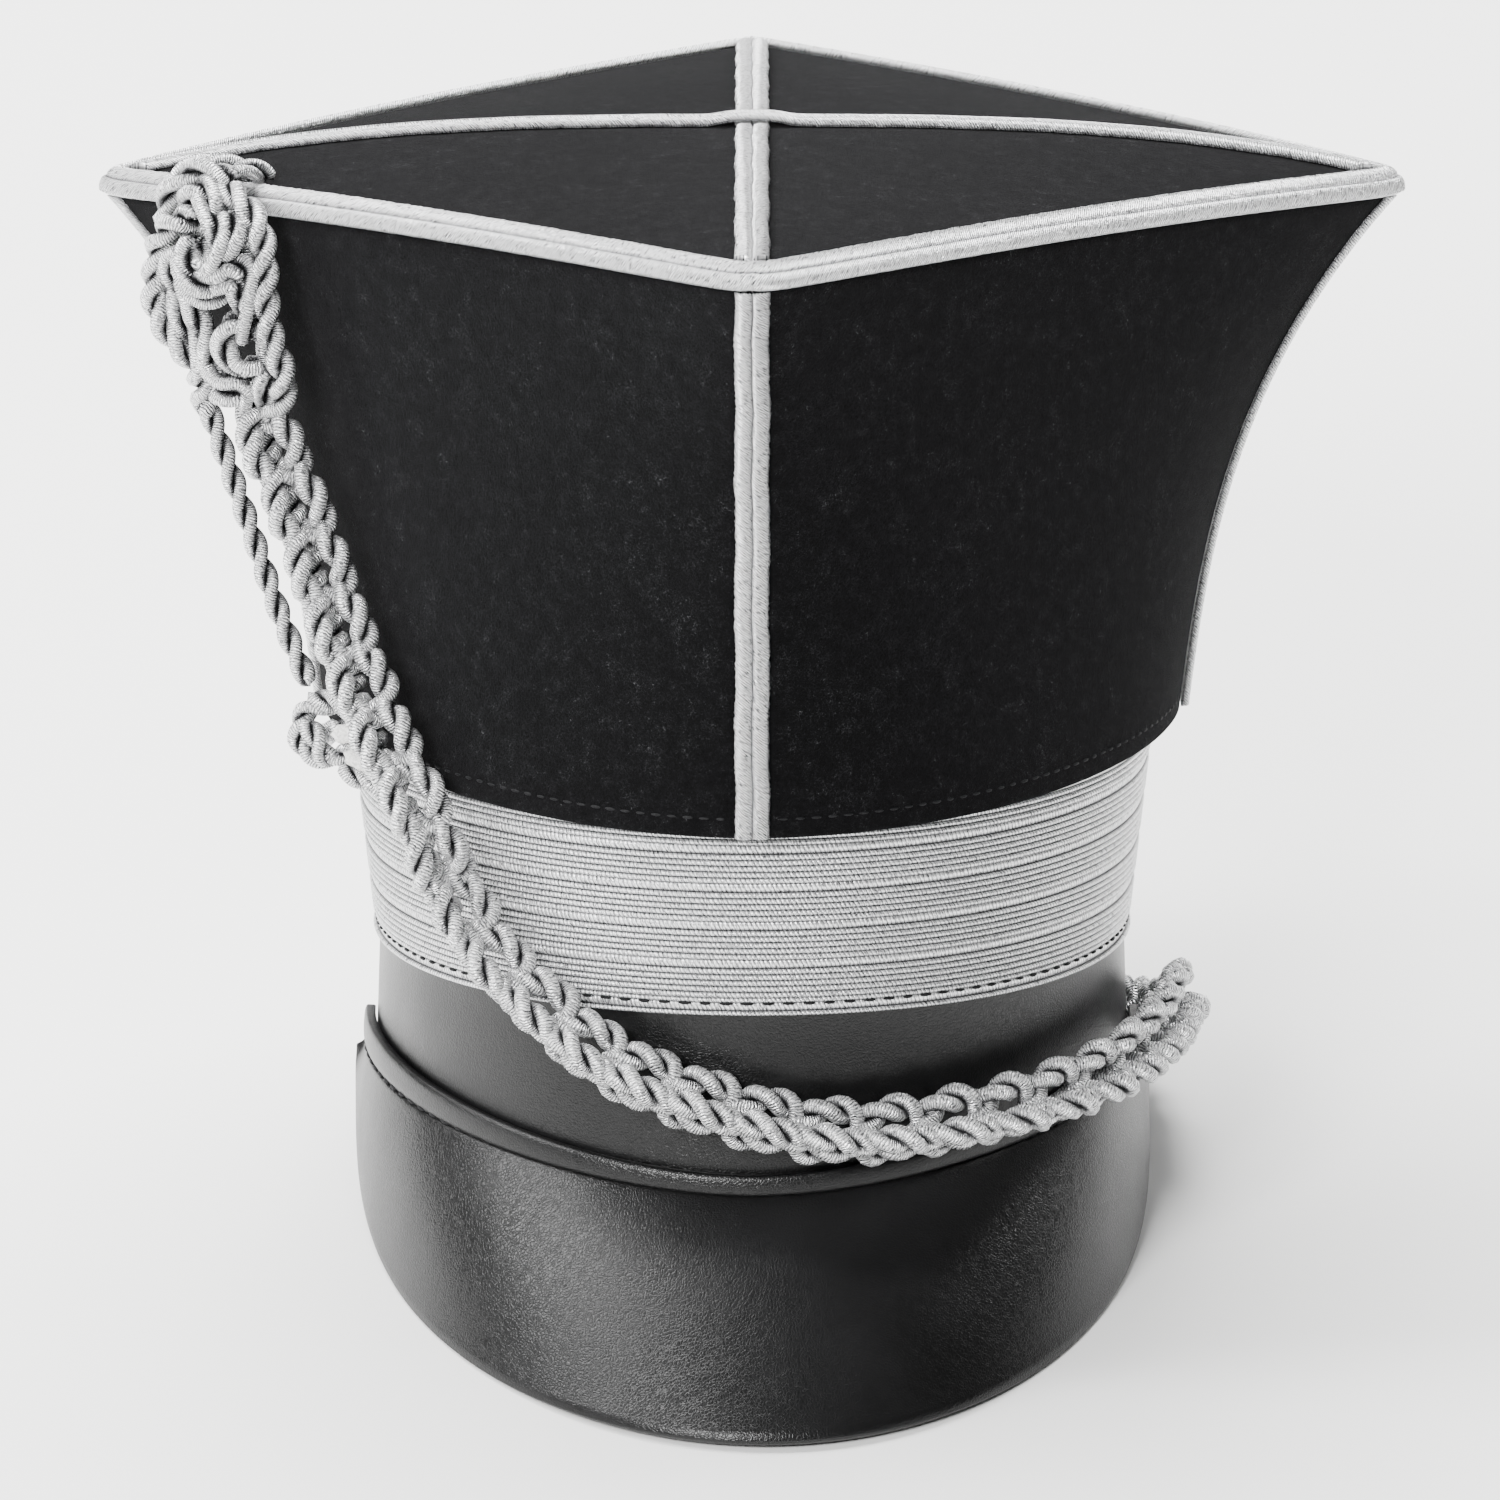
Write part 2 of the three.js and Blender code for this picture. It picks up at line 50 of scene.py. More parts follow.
BODY_WAIST_HALF_WIDTH = 85.2
BODY_DEPTH_SHARE = 1.16
BODY_HEIGHT = 94.0
BODY_TOP_HALF_WIDTH = 90.6
BODY_COLUMNS = 240
BAND_FOOT_FRONT = 44.6
BAND_FOOT_SIDE = 41.6
BAND_THICKNESS = 1.3
BAND_TOP = 93.5

CROWN_FOOT_SIDE = 92.2
CROWN_FOOT_FRONT = 88.6
CROWN_FOOT_HALF_WIDTH = 97.6
CROWN_FOOT_HALF_DEPTH = 115.0
CROWN_FOOT_ROUNDNESS = 1.8
CROWN_TOP_HALF = 145.4
CORNER_RADIUS = 4.0
FLARE_POWER = 2.8
FLARE_STRAIGHT_SHARE = 0.3
SQUARING_POWER = 0.8
TOP_CORNER_HEIGHT = 214.5
FRONT_CORNER_RISE = 5.4
CORNER_RISE_POWER = 2.5
DOME_RISE = 11.8
DOME_POWER = 3
TOP_INSET = 1.0

BRAID_WIDTH = 7.6
BRAID_THICKNESS = 1.9
EDGE_BRAID_ARM = 3.2

PEAK_THICKNESS = 2.2
PEAK_GAP = 0.5
PEAK_LINE_FRONT = 8.4
PEAK_LINE_RISE = 12.4
PEAK_LINE_POWER = 1.64
PEAK_LIP_FRONT = 5.0
PEAK_LIP_SIDE = 7.5
PEAK_REACH = 45.0
PEAK_DROP = 48.6
PEAK_END_DROP = 1.5
PEAK_EDGE_POWER = 0.36
PEAK_HALF_WIDTH = 89.2
PEAK_SKEW = 2.6
PEAK_BULGE = 1.4

CORD_DIAMETER = 5.4
CORD_LAY = 15.0  # one full turn of the two strands
LINK_PITCH = 14.5  # from one link of the plait to the next

# The rim mount's place on the upright cap, from which the cap's lean and place on the floor follow.
RIM_MOUNT = (-4.499, 99.694, 0.0)


def cap_placement():
    """The matrix from upright millimetres to the row frame, in metres."""
    mount = next(m for m in frame["record"]["mounts"] if m["name"] == "rim")
    lean = math.atan2(-mount["axis"][1], -mount["axis"][2])
    turn = Matrix.Rotation(-lean, 4, "X") @ Matrix.Scale(MM, 4)
    shift = Vector(mount["pos_m"]) - turn @ Vector(RIM_MOUNT)
    return Matrix.Translation(shift) @ turn


PLACE = cap_placement()
PLACE_ROWS = np.array(PLACE)


def placed(points):
    points = np.asarray(points, float)
    return points @ PLACE_ROWS[:3, :3].T + PLACE_ROWS[:3, 3]


# Camera
CAMERA_ELEVATION = math.radians(13.37)
CAMERA_DISTANCE = 2500.0
CAMERA_TARGET = Vector((0.0, 0.0, 81.26))
CAMERA_LENS = 262.2
CAMERA_SHIFT_X = -0.0014
CAMERA_CLIP_END = 50.0  # metres


def linked(name, data):
    """A new object in the scene."""
    thing = bpy.data.objects.new(name, data)
    bpy.context.scene.collection.objects.link(thing)
    return thing


def make_camera():
    data = bpy.data.cameras.new("camera")
    camera = linked("camera", data)
    back = Vector((0.0, -math.cos(CAMERA_ELEVATION), math.sin(CAMERA_ELEVATION)))
    camera.location = PLACE @ (CAMERA_TARGET + back * CAMERA_DISTANCE)
    turn = PLACE.to_3x3().normalized() @ (-back).to_track_quat("-Z", "Y").to_matrix()
    camera.rotation_euler = turn.to_euler()
    data.lens = CAMERA_LENS
    data.shift_x = CAMERA_SHIFT_X
    data.clip_end = CAMERA_CLIP_END
    bpy.context.scene.camera = camera


make_camera()


# Nodes and materials
def linear(hex_colour):
    """An sRGB hex colour as linear RGBA."""
    values = [int(hex_colour[i : i + 2], 16) / 255 for i in (1, 3, 5)]
    return [v / 12.92 if v <= 0.04045 else ((v + 0.055) / 1.055) ** 2.4 for v in values] + [1.0]


def add(tree, kind, settings=None, values=None, links=None):
    """Adds a node with its settings, input values and input links."""
    node = tree.nodes.new(kind)
    for key, value in (settings or {}).items():
        setattr(node, key, value)
    for key, value in (values or {}).items():
        node.inputs[key].default_value = value
    for key, socket in (links or {}).items():
        tree.links.new(socket, node.inputs[key])
    return node


def new_material(name):
    material = bpy.data.materials.new(name)
    material.use_nodes = True
    material.node_tree.nodes.clear()
    return material, material.node_tree


def finish_material(tree, values, links, bump=None):
    shader = add(tree, "ShaderNodeBsdfPrincipled", values=values, links=links)
    if bump is not None:
        tree.links.new(bump.outputs["Normal"], shader.inputs["Normal"])
    add(tree, "ShaderNodeOutputMaterial", links={"Surface": shader.outputs["BSDF"]})


def ramp(tree, factor, stops):
    """The colour at a factor between the positions and hex colours given."""
    node = add(tree, "ShaderNodeValToRGB", links={"Fac": factor})
    elements = node.color_ramp.elements
    while len(elements) < len(stops):
        elements.new(0.5)
    for element, (position, colour) in zip(elements, stops):
        element.position = position
        element.color = linear(colour)
    return node.outputs["Color"]


def noise(tree, place, scale, detail, roughness=0.5, distortion=0.0):
    values = {"Scale": scale, "Detail": detail, "Roughness": roughness, "Distortion": distortion}
    return add(tree, "ShaderNodeTexNoise", values=values, links={"Vector": place}).outputs["Fac"]


def weighted_sum(tree, value, weight, base):
    links = {0: value, 2: base}
    return add(tree, "ShaderNodeMath", {"operation": "MULTIPLY_ADD"}, {1: weight}, links).outputs[0]


def remapped(tree, value, from_low, from_high, to_low=0.0, to_high=1.0):
    values = {"From Min": from_low, "From Max": from_high, "To Min": to_low, "To Max": to_high}
    return add(tree, "ShaderNodeMapRange", values=values, links={"Value": value}).outputs[0]


def bumped(tree, height, strength, distance):
    values = {"Strength": strength, "Distance": distance}
    return add(tree, "ShaderNodeBump", values=values, links={"Height": height})


def wool_melton():
    """Black wool melton: a milled felt with a short nap and a pale fibre here and there."""
    material, tree = new_material("black_wool_melton")
    place = add(tree, "ShaderNodeTexCoord").outputs["Object"]
    fibres = noise(tree, place, 1700, 4, 0.75, 1.2)
    tufts = noise(tree, place, 260, 3, 0.6)
    patches = noise(tree, place, 34, 2)
    nap = weighted_sum(tree, tufts, 0.35, fibres)
    uneven = weighted_sum(tree, patches, 0.08, nap)
    colour = ramp(tree, uneven, [(0.5, "#040404"), (0.76, "#0b0b0c"), (0.88, "#1c1c1d"), (0.97, "#505052")])
    values = {
        "Roughness": 0.95, "Specular IOR Level": 0.05, "Sheen Weight": 0.03, "Sheen Roughness": 0.35,
        "Sheen Tint": linear("#d8d8dc"),
    }
    finish_material(tree, values, {"Base Color": colour}, bumped(tree, nap, 0.8, 0.5 * MM))
    return material


def grained_leather():
    """Black chrome-tanned cowhide with a pebble grain and a satin dressing, for soft broad highlights."""
    material, tree = new_material("black_grained_leather")
    place = add(tree, "ShaderNodeTexCoord").outputs["Object"]
    warp = add(tree, "ShaderNodeTexNoise", values={"Scale": 420, "Detail": 2}, links={"Vector": place})
    bent = add(
        tree, "ShaderNodeMix", {"data_type": "VECTOR"}, {"Factor": 0.0014},
        {4: place, 5: warp.outputs["Color"]},
    )
    pebbles = add(
        tree, "ShaderNodeTexVoronoi", {"feature": "DISTANCE_TO_EDGE"}, {"Scale": 1350, "Randomness": 0.9},
        {"Vector": bent.outputs[1]},
    )
    creases = remapped(tree, pebbles.outputs["Distance"], 0.0, 0.22)
    grain = weighted_sum(tree, noise(tree, place, 520, 3, 0.6), 0.9, creases)
    handling = noise(tree, place, 26, 3, 0.55)
    colour = ramp(tree, handling, [(0.3, "#040404"), (0.7, "#09090a")])
    links = {"Base Color": colour, "Roughness": remapped(tree, handling, 0.3, 0.7, 0.27, 0.38)}
    values = {"IOR": 1.5, "Specular IOR Level": 0.34}
    finish_material(tree, values, links, bumped(tree, grain, 0.3, 0.13 * MM))
    return material


GLINT_STRETCH = (0.7, 2.9, 1.0)  # a glint is longer round the strand than along it


def silver_thread(name, winding, slant, wandering, depth, shade_between_turns, bright):
    """Silver thread: silvered wire wound round a core, bright on each turn, with painted shade between the
    turns.

    The UV map is in millimetres: U runs across the strand and V along it. A turn of the real winding is
    0.35 mm, and is drawn coarser, so that it shows. The crest attribute is 1 on a ridge and 0 in a groove;
    towards 0 the colour is lowered, as painted shade in the hollows between plies, ribs and ridges.
    """
    material, tree = new_material(name)
    across_along = add(tree, "ShaderNodeUVMap", {"uv_map": "strand"}).outputs["UV"]
    crest = add(tree, "ShaderNodeAttribute", {"attribute_name": "crest"}).outputs["Fac"]
    parts = add(tree, "ShaderNodeSeparateXYZ", links={"Vector": across_along}).outputs
    slanted = weighted_sum(tree, parts["X"], slant, parts["Y"])
    loose = weighted_sum(tree, noise(tree, across_along, 0.45, 2, 0.6), wandering * winding, slanted)
    wire = add(tree, "ShaderNodeCombineXYZ", links={"X": parts["X"], "Y": loose}).outputs["Vector"]
    stretched = add(tree, "ShaderNodeVectorMath", {"operation": "MULTIPLY"}, {1: GLINT_STRETCH}, {0: wire})
    sparkle = noise(tree, stretched.outputs["Vector"], 1, 2, 0.6)
    phase = add(tree, "ShaderNodeMath", {"operation": "MULTIPLY"}, {1: 2 * math.pi / winding}, {0: loose})
    wave = add(tree, "ShaderNodeMath", {"operation": "SINE"}, links={0: phase.outputs[0]})
    turns = remapped(tree, wave.outputs[0], -1.0, 1.0)
    # painted shade between the turns of the wire: the colour falls to the ramp's first colour in each gap
    colour = ramp(tree, turns, [(0.0, shade_between_turns), (0.4, bright), (1.0, bright)])
    # painted glint spots: stretched noise lifts and lowers the colour along the wire, standing in for glint
    # light on the turns; the same noise also sets real roughness and bump
    painted_glints = ramp(tree, sparkle, [(0.34, "#808082"), (0.48, "#e6e6e7"), (0.58, "#ffffff")])
    # painted shade: the colour is lowered where the crest falls, in the hollows between plies, ribs and
    # braid ridges
    painted_groove_shade = ramp(tree, crest, [(0.0, "#3c3c3e"), (0.3, "#cfcfd0"), (0.6, "#ffffff")])
    for shade in (painted_glints, painted_groove_shade):
        mixed = add(
            tree, "ShaderNodeMix", {"data_type": "RGBA", "blend_type": "MULTIPLY"}, {"Factor": 1.0},
            {6: colour, 7: shade},
        )
        colour = mixed.outputs[2]
    links = {"Base Color": colour, "Roughness": remapped(tree, sparkle, 0.3, 0.7, 0.22, 0.42)}
    bump = bumped(tree, weighted_sum(tree, sparkle, 0.9, turns), 1.0, depth * MM)
    finish_material(tree, {"Metallic": 0.68}, links, bump)
    return material


def waxed_thread():
    """Waxed black linen thread, faintly glossy, with the turns of its twist."""
    material, tree = new_material("waxed_black_thread")
    twist = noise(tree, add(tree, "ShaderNodeTexCoord").outputs["Object"], 2500, 1)
    links = {"Base Color": ramp(tree, twist, [(0.3, "#050506"), (0.7, "#161618")])}
    values = {"Roughness": 0.7, "Specular IOR Level": 0.2}
    finish_material(tree, values, links, bumped(tree, twist, 0.4, 0.1 * MM))
    return material


def bound_tape():
    """White cotton tape, greyed by wear, that binds the cut ends of the cord."""
    material, tree = new_material("white_cotton_tape")
    weave = noise(tree, add(tree, "ShaderNodeTexCoord").outputs["Object"], 1700, 2)
    links = {"Base Color": ramp(tree, weave, [(0.3, "#b9b8b5"), (0.65, "#e9e8e5")])}
    finish_material(tree, {"Roughness": 0.8}, links, bumped(tree, weave, 0.5, 0.1 * MM))
    return material


MELTON = wool_melton()
COWHIDE = grained_leather()
GIMP = silver_thread(
    "silver_gimp_cord", winding=0.55, slant=0.12, wandering=1.7, depth=0.24, shade_between_turns="#7c7d7f", bright="#ffffff"
)
SOUTACHE = silver_thread(
    "silver_soutache_braid", winding=0.62, slant=0.75, wandering=1.1, depth=0.2,
    shade_between_turns="#88898b", bright="#fbfbfb",
)
GALLOON = silver_thread(
    "silver_galloon", winding=1.05, slant=0.35, wandering=0.35, depth=0.12, shade_between_turns="#9a9b9d", bright="#fbfbfb"
)
THREAD = waxed_thread()
TAPE = bound_tape()


# Meshes
def lerp(a, b, t):
    return a + (b - a) * t


def steps(first, last, count):
    return np.linspace(first, last, count + 1)


def make_piece(name, points, faces, uvs, material, slot, crest=None):
    """A piece made from upright points, with its UV map in millimetres."""
    mesh = bpy.data.meshes.new(name)
    mesh.from_pydata(placed(points), [], faces)
    layer = mesh.uv_layers.new(name="strand")
    layer.data.foreach_set("uv", np.asarray(uvs, np.float32).ravel())
    ridges = mesh.attributes.new("crest", "FLOAT", "POINT")
    ridges.data.foreach_set("value", np.ones(len(points), np.float32) if crest is None else crest)
    mesh.polygons.foreach_set("use_smooth", np.ones(len(mesh.polygons), bool))
    mesh.materials.append(material)
    mesh.update()
    piece = linked(name, mesh)
    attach(piece, "root")
    return piece


def lengths_along(rows):
    """The running length over an array of points, down its first axis."""
    gaps = np.linalg.norm(np.diff(rows, axis=0), axis=-1)
    return np.concatenate([np.zeros((1,) + gaps.shape[1:]), np.cumsum(gaps, axis=0)])


def lofted(rings, closed=False):
    """Points, faces and UVs of a closed solid through rings of equal counts.

    Each ring runs along one face of the piece and back along the other. An open row of rings gets a strip of
    faces over each end. Faces that turn inward are turned round.
    """
    rings = np.asarray(rings, float)
    count, size = rings.shape[:2]
    looped = np.concatenate([rings, rings[:1]]) if closed else rings
    along = lengths_along(looped).mean(axis=1)
    across = lengths_along(np.concatenate([rings, rings[:, :1]], axis=1).swapaxes(0, 1)).mean(axis=1)
    faces, uvs = [], []
    for row in range(count if closed else count - 1):
        after = (row + 1) % count
        for i in range(size):
            j = (i + 1) % size
            faces.append((row * size + i, row * size + j, after * size + j, after * size + i))
            uvs += [
                (across[i], along[row]), (across[i + 1], along[row]),
                (across[i + 1], along[row + 1]), (across[i], along[row + 1]),
            ]
    if not closed:
        for row, flip in ((0, True), (count - 1, False)):
            for i in range(size // 2 - 1):
                corners = [row * size + k for k in (i, i + 1, size - 2 - i, size - 1 - i)]
                faces.append(tuple(corners[::-1] if flip else corners))
                uvs += [(across[i], along[row])] * 4
    points = rings.reshape(-1, 3)
    volume = 0.0
    for face in faces:
        a, b, c, d = (points[k] for k in face)
        volume += a @ np.cross(b, c) + a @ np.cross(c, d)
    if volume < 0:
        faces = [face[::-1] for face in faces]
        uvs = [uv for k in range(0, len(uvs), 4) for uv in reversed(uvs[k : k + 4])]
    return points, faces, uvs


def soft(value, radius):
    """A value's size with its turn at zero rounded off."""
    return math.hypot(value, radius)


def crown_section(share, offset):
    """The crown's outline at a share of its height: a rounded oval at the foot that turns into a square."""
    flare = lerp(share**FLARE_POWER, share, FLARE_STRAIGHT_SHARE)
    bend = CORNER_RADIUS + offset * (math.sqrt(2) - 1) * flare
    exponent = lerp(CROWN_FOOT_ROUNDNESS, 1.0, share**SQUARING_POWER)
    across = soft(lerp(CROWN_FOOT_HALF_WIDTH, CROWN_TOP_HALF, flare) + offset, bend) ** exponent
    along = soft(lerp(CROWN_FOOT_HALF_DEPTH, CROWN_TOP_HALF, flare) + offset, bend) ** exponent
    corner = bend**exponent
    whole = across * along - corner * corner
    half_width = (whole / (along - corner)) ** (1 / exponent)
    half_depth = (whole / (across - corner)) ** (1 / exponent)
    return bend, exponent, half_width, half_depth


HALVINGS = 34


def section_radius(section, angle):
    """How far a section of the crown reaches at an angle from +X."""
    bend, exponent, half_width, half_depth = section
    near, far = 0.0, half_width + half_depth
    for _ in range(HALVINGS):
        reach = (near + far) / 2
        x = soft(reach * math.cos(angle), bend) / half_width
        y = soft(reach * math.sin(angle), bend) / half_depth
        if x**exponent + y**exponent < 1:
            near = reach
        else:
            far = reach
    return near


def top_height(x, y):
    """The height of the domed top, whose front and back corners lie lower than its side corners."""
    across, along = abs(x) / CROWN_TOP_HALF, abs(y) / CROWN_TOP_HALF
    out = across + along
    sideways = across / out if out > 0 else 0.0
    drop = DOME_RISE - FRONT_CORNER_RISE + FRONT_CORNER_RISE * sideways**CORNER_RISE_POWER
    return TOP_CORNER_HEIGHT + DOME_RISE - drop * out**DOME_POWER


def crown_point(angle, share, offset=0.0):
    top = section_radius(crown_section(1.0, 0.0), angle)
    head = top_height(top * math.cos(angle), top * math.sin(angle)) - FELT - GAP
    reach = section_radius(crown_section(share, offset), angle)
    foot = lerp(CROWN_FOOT_FRONT, CROWN_FOOT_SIDE, math.cos(angle) ** 2)
    return [reach * math.cos(angle), reach * math.sin(angle), lerp(foot, head, share)]


def body_half_width(z):
    if z < BAND_FOOT_FRONT:
        return lerp(BODY_RIM_HALF_WIDTH, BODY_WAIST_HALF_WIDTH, z / BAND_FOOT_FRONT)
    up = (z - BAND_FOOT_FRONT) / (BODY_HEIGHT - BAND_FOOT_FRONT)
    return lerp(BODY_WAIST_HALF_WIDTH, BODY_TOP_HALF_WIDTH, up)


def body_point(angle, z, offset):
    half_width = body_half_width(z)
    return [
        (half_width + offset) * math.cos(angle),
        (half_width * BODY_DEPTH_SHARE + offset) * math.sin(angle),
        z,
    ]


def make_body():
    heights = [1.2, 3, 8, 16, 26, 36, BAND_FOOT_FRONT, 60, 78, BODY_HEIGHT - 0.8, BODY_HEIGHT]
    outer = [(0.3, 0.0), (0.0, 0.3)] + [(0.0, z) for z in heights]
    inner = [(LEATHER, z) for z in reversed(heights)] + [(LEATHER, 0.3), (LEATHER - 0.3, 0.0)]
    rings = [
        [body_point(angle, z, -inset) for inset, z in outer + inner]
        for angle in steps(0, 2 * math.pi, BODY_COLUMNS)[:-1]
    ]
    piece = make_piece("leather_body", *lofted(rings, True), COWHIDE, "leather")
    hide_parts("body")


# The width and the share of the full height of each rib
FOOT_RIBS = [(1.5, 1.0), (2.4, 0.5), (1.5, 0.8)]
RIB_GROUP = [(1.75, 1.0)] * 5 + [(2.6, 0.62)]
RIB_SAMPLES = (0.03, 0.14, 0.3, 0.5, 0.7, 0.86, 0.97)
GROOVE_SHARE = 0.1  # how high the band still is between two ribs
BAND_COLUMNS = 300


def band_foot(angle):
    return lerp(BAND_FOOT_FRONT, BAND_FOOT_SIDE, math.cos(angle) ** 2)


def band_profile(foot):
    """The ribs from the band's foot to its top, as (offset, height, crest) values."""
    profile = []
    z = foot
    ribs = list(FOOT_RIBS)
    while sum(width for width, _ in ribs) < BAND_TOP - BAND_FOOT_SIDE:
        ribs += RIB_GROUP
    scale = (BAND_TOP - foot) / sum(width for width, _ in ribs)
    for width, share in ribs:
        for t in RIB_SAMPLES:
            arch = math.sqrt(1 - (2 * t - 1) ** 2)
            offset = GAP + BAND_THICKNESS * lerp(GROOVE_SHARE, share, arch)
            # the crest is low between ribs, where the silver material lays painted shade
            profile.append((offset, z + t * width * scale, max(0.0, (arch - 0.5) * 2.0)))
        z += width * scale
    return profile


def make_band():
    rings, crests = [], []
    for angle in steps(0, 2 * math.pi, BAND_COLUMNS)[:-1]:
        foot = band_foot(angle)
        outline = [(GAP, foot, 0.5)] + band_profile(foot) + [(GAP, BAND_TOP, 0.5)]
        rings.append([body_point(angle, z, offset) for offset, z, _ in outline])
        crests += [crest for _, _, crest in outline]
    piece = make_piece("galloon", *lofted(rings, True), GALLOON, "silver_thread", crests)
    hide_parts("galloon_band")


SEAM_GAP_ANGLE = 0.0015  # radians from a seam to each panel's edge
PANEL_NAMES = ["back_left", "back_right", "front_right", "front_left"]
PANEL_COLUMNS = 44
PANEL_ROWS = 36
PANEL_FOOT_SHARE = 0.004  # the share of the height at which the rounded hem ends


def make_crown_panels():
    for quarter, name in enumerate(PANEL_NAMES):
        start = quarter * math.pi / 2 + SEAM_GAP_ANGLE
        end = (quarter + 1) * math.pi / 2 - SEAM_GAP_ANGLE
        rings = []
        for t in steps(-1, 1, PANEL_COLUMNS):
            angle = lerp(start, end, (math.sin(t * math.pi / 2) + 1) / 2)
            shares = steps(PANEL_FOOT_SHARE, 1, PANEL_ROWS)
            outer = [crown_point(angle, share) for share in shares]
            inner = [crown_point(angle, share, -FELT) for share in shares[::-1]]
            hem = [crown_point(angle, 0.0, -FELT * 0.8), crown_point(angle, 0.0, -FELT * 0.2)]
            rings.append(outer + inner + hem)
        piece = make_piece(f"felt_panel_{name}", *lofted(rings), MELTON, "felt")
        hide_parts(f"crown_panel_{name}")


def make_top_panel():
    half = CROWN_TOP_HALF - TOP_INSET
    shares = np.sin(steps(-1, 1, PANEL_COLUMNS) * math.pi / 2)
    rings = []
    for s in shares:
        line = [((s - t) * half / 2, (s + t) * half / 2) for t in shares]
        over = [(x, y, top_height(x, y)) for x, y in line]
        under = [(x, y, top_height(x, y) - FELT) for x, y in reversed(line)]
        rings.append(over + under)
    piece = make_piece("felt_top", *lofted(rings), MELTON, "felt")
    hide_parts("top_panel")


def peak_inner(turn, run):
    """A point of the peak's inner face.

    The turn goes from -90 degrees at the wearer's right temple to 90 at the left. The run goes from -1 at
    the lip's upper edge through 0 at the stitches to 1 at the peak's edge.
    """
    side, front = math.sin(turn), -math.cos(turn)
    line = PEAK_LINE_FRONT + PEAK_LINE_RISE * abs(side) ** PEAK_LINE_POWER
    lip = lerp(PEAK_LIP_FRONT, PEAK_LIP_SIDE, side**2)
    if run <= 0:
        return np.array(body_point(turn - math.pi / 2, line - (1 + run) * lip, PEAK_GAP))
    seam = np.array(body_point(turn - math.pi / 2, line - lip, PEAK_GAP))
    end_height = PEAK_LINE_FRONT + PEAK_LINE_RISE - PEAK_LIP_SIDE - PEAK_END_DROP
    tip_height = PEAK_LINE_FRONT - PEAK_DROP
    edge = np.array([
        PEAK_HALF_WIDTH * side - PEAK_SKEW * front,
        (BODY_RIM_HALF_WIDTH * BODY_DEPTH_SHARE + PEAK_REACH) * front,
        lerp(end_height, tip_height, max(0.0, -front) ** PEAK_EDGE_POWER),
    ])
    out = math.sin(run * math.pi) * PEAK_BULGE
    return seam * (1 - run) + edge * run + out * np.array([side * 0.5, front, 0.6])


def peak_outward(turn, run):
    """The unit normal of the peak's inner face, towards its outer face."""
    small = 1e-3
    sample = max(-1 + small, min(1 - small, run))
    along = peak_inner(turn, sample + small) - peak_inner(turn, sample - small)
    across = peak_inner(turn + small, sample) - peak_inner(turn - small, sample)
    normal = np.cross(along, across)
    return normal / np.linalg.norm(normal)


STITCH_GROOVE = 0.6  # how deep the stitches draw the leather in
GROOVE_SPREAD = 0.6
LIP_PADDING = 0.45  # how much the folded lip stands proud
EDGE_ROUNDING = 0.3
LOW_EDGE_DEPTHS = (1.7, 0.5)  # how far from the inner face the rounded edges' points lie
TOP_EDGE_DEPTHS = (0.35, 1.85)
PEAK_COLUMNS = 150


def peak_padding(run):
    """How much thicker than its plain wall the peak is."""
    seam = run * (PEAK_LIP_FRONT if run < 0 else PEAK_REACH)
    groove = STITCH_GROOVE * math.exp(-(seam**2) / GROOVE_SPREAD)
    return LIP_PADDING * math.sin(max(0.0, -run) * math.pi) ** 0.5 - groove


def make_peak():
    lip_runs = np.concatenate([steps(-1, -0.3, 6), steps(-0.24, 0, 6)])
    runs = np.concatenate([lip_runs, steps(0.004, 0.03, 5), steps(0.05, 1, 22)])
    rings = []
    for t in steps(-1, 1, PEAK_COLUMNS):
        turn = math.sin(t * math.pi / 2) * math.pi / 2
        normals = [peak_outward(turn, run) for run in runs]
        inner = [peak_inner(turn, run) for run in runs]
        outer = [
            point + normal * (PEAK_THICKNESS + peak_padding(run))
            for point, run, normal in zip(inner, runs, normals)
        ]
        end_out = inner[-1] - inner[-2]
        end_out /= np.linalg.norm(end_out)
        low_edge = [inner[-1] + normals[-1] * depth + end_out * EDGE_ROUNDING for depth in LOW_EDGE_DEPTHS]
        upward = np.array([0, 0, EDGE_ROUNDING])
        top_edge = [inner[0] + normals[0] * depth + upward for depth in TOP_EDGE_DEPTHS]
        rings.append(outer + low_edge + inner[::-1] + top_edge)
    piece = make_piece("leather_peak", *lofted(rings), COWHIDE, "leather")
    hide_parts("peak")


# Soutache braid: two rounded ridges with a groove between them
BRAID_POINTS = 20
BRAID_RIM_SHARE = 0.16  # the braid's thickness at its rims and in its groove
# crest values for the silver material's painted shade: low in the braid's groove and on its underside
GROOVE_CREST = 0.1
UNDERSIDE_CREST = 0.4


def braid_outline():
    """The braid's section over what it lies on and back under it, as (side, height, crest) values."""
    half = BRAID_WIDTH / 2
    over = []
    for lane in steps(-1, 1, BRAID_POINTS):
        hump = math.sqrt(max(0.0, 1 - ((abs(lane) - 0.5) / 0.5) ** 2))
        height = GAP + BRAID_THICKNESS * lerp(BRAID_RIM_SHARE, 1.0, hump)
        over.append((lane * half, height, GROOVE_CREST + hump))
    under = [(lane * half, GAP, UNDERSIDE_CREST) for lane in steps(1, -1, BRAID_POINTS)]
    return over + under


FUZZ = np.random.default_rng(11)
FRAYED_RIM = 0.9 * BRAID_WIDTH / 2
SEWN_WANDERS = [(0.14, 0.21, 0.0), (0.08, 0.57, 1.3)]  # millimetres, radians per millimetre, phase


def frayed(side):
    """A braid's rim moved a little in or out, as its loose threads stand."""
    return side * (1 + (abs(side) > FRAYED_RIM) * FUZZ.uniform(-0.07, 0.03))


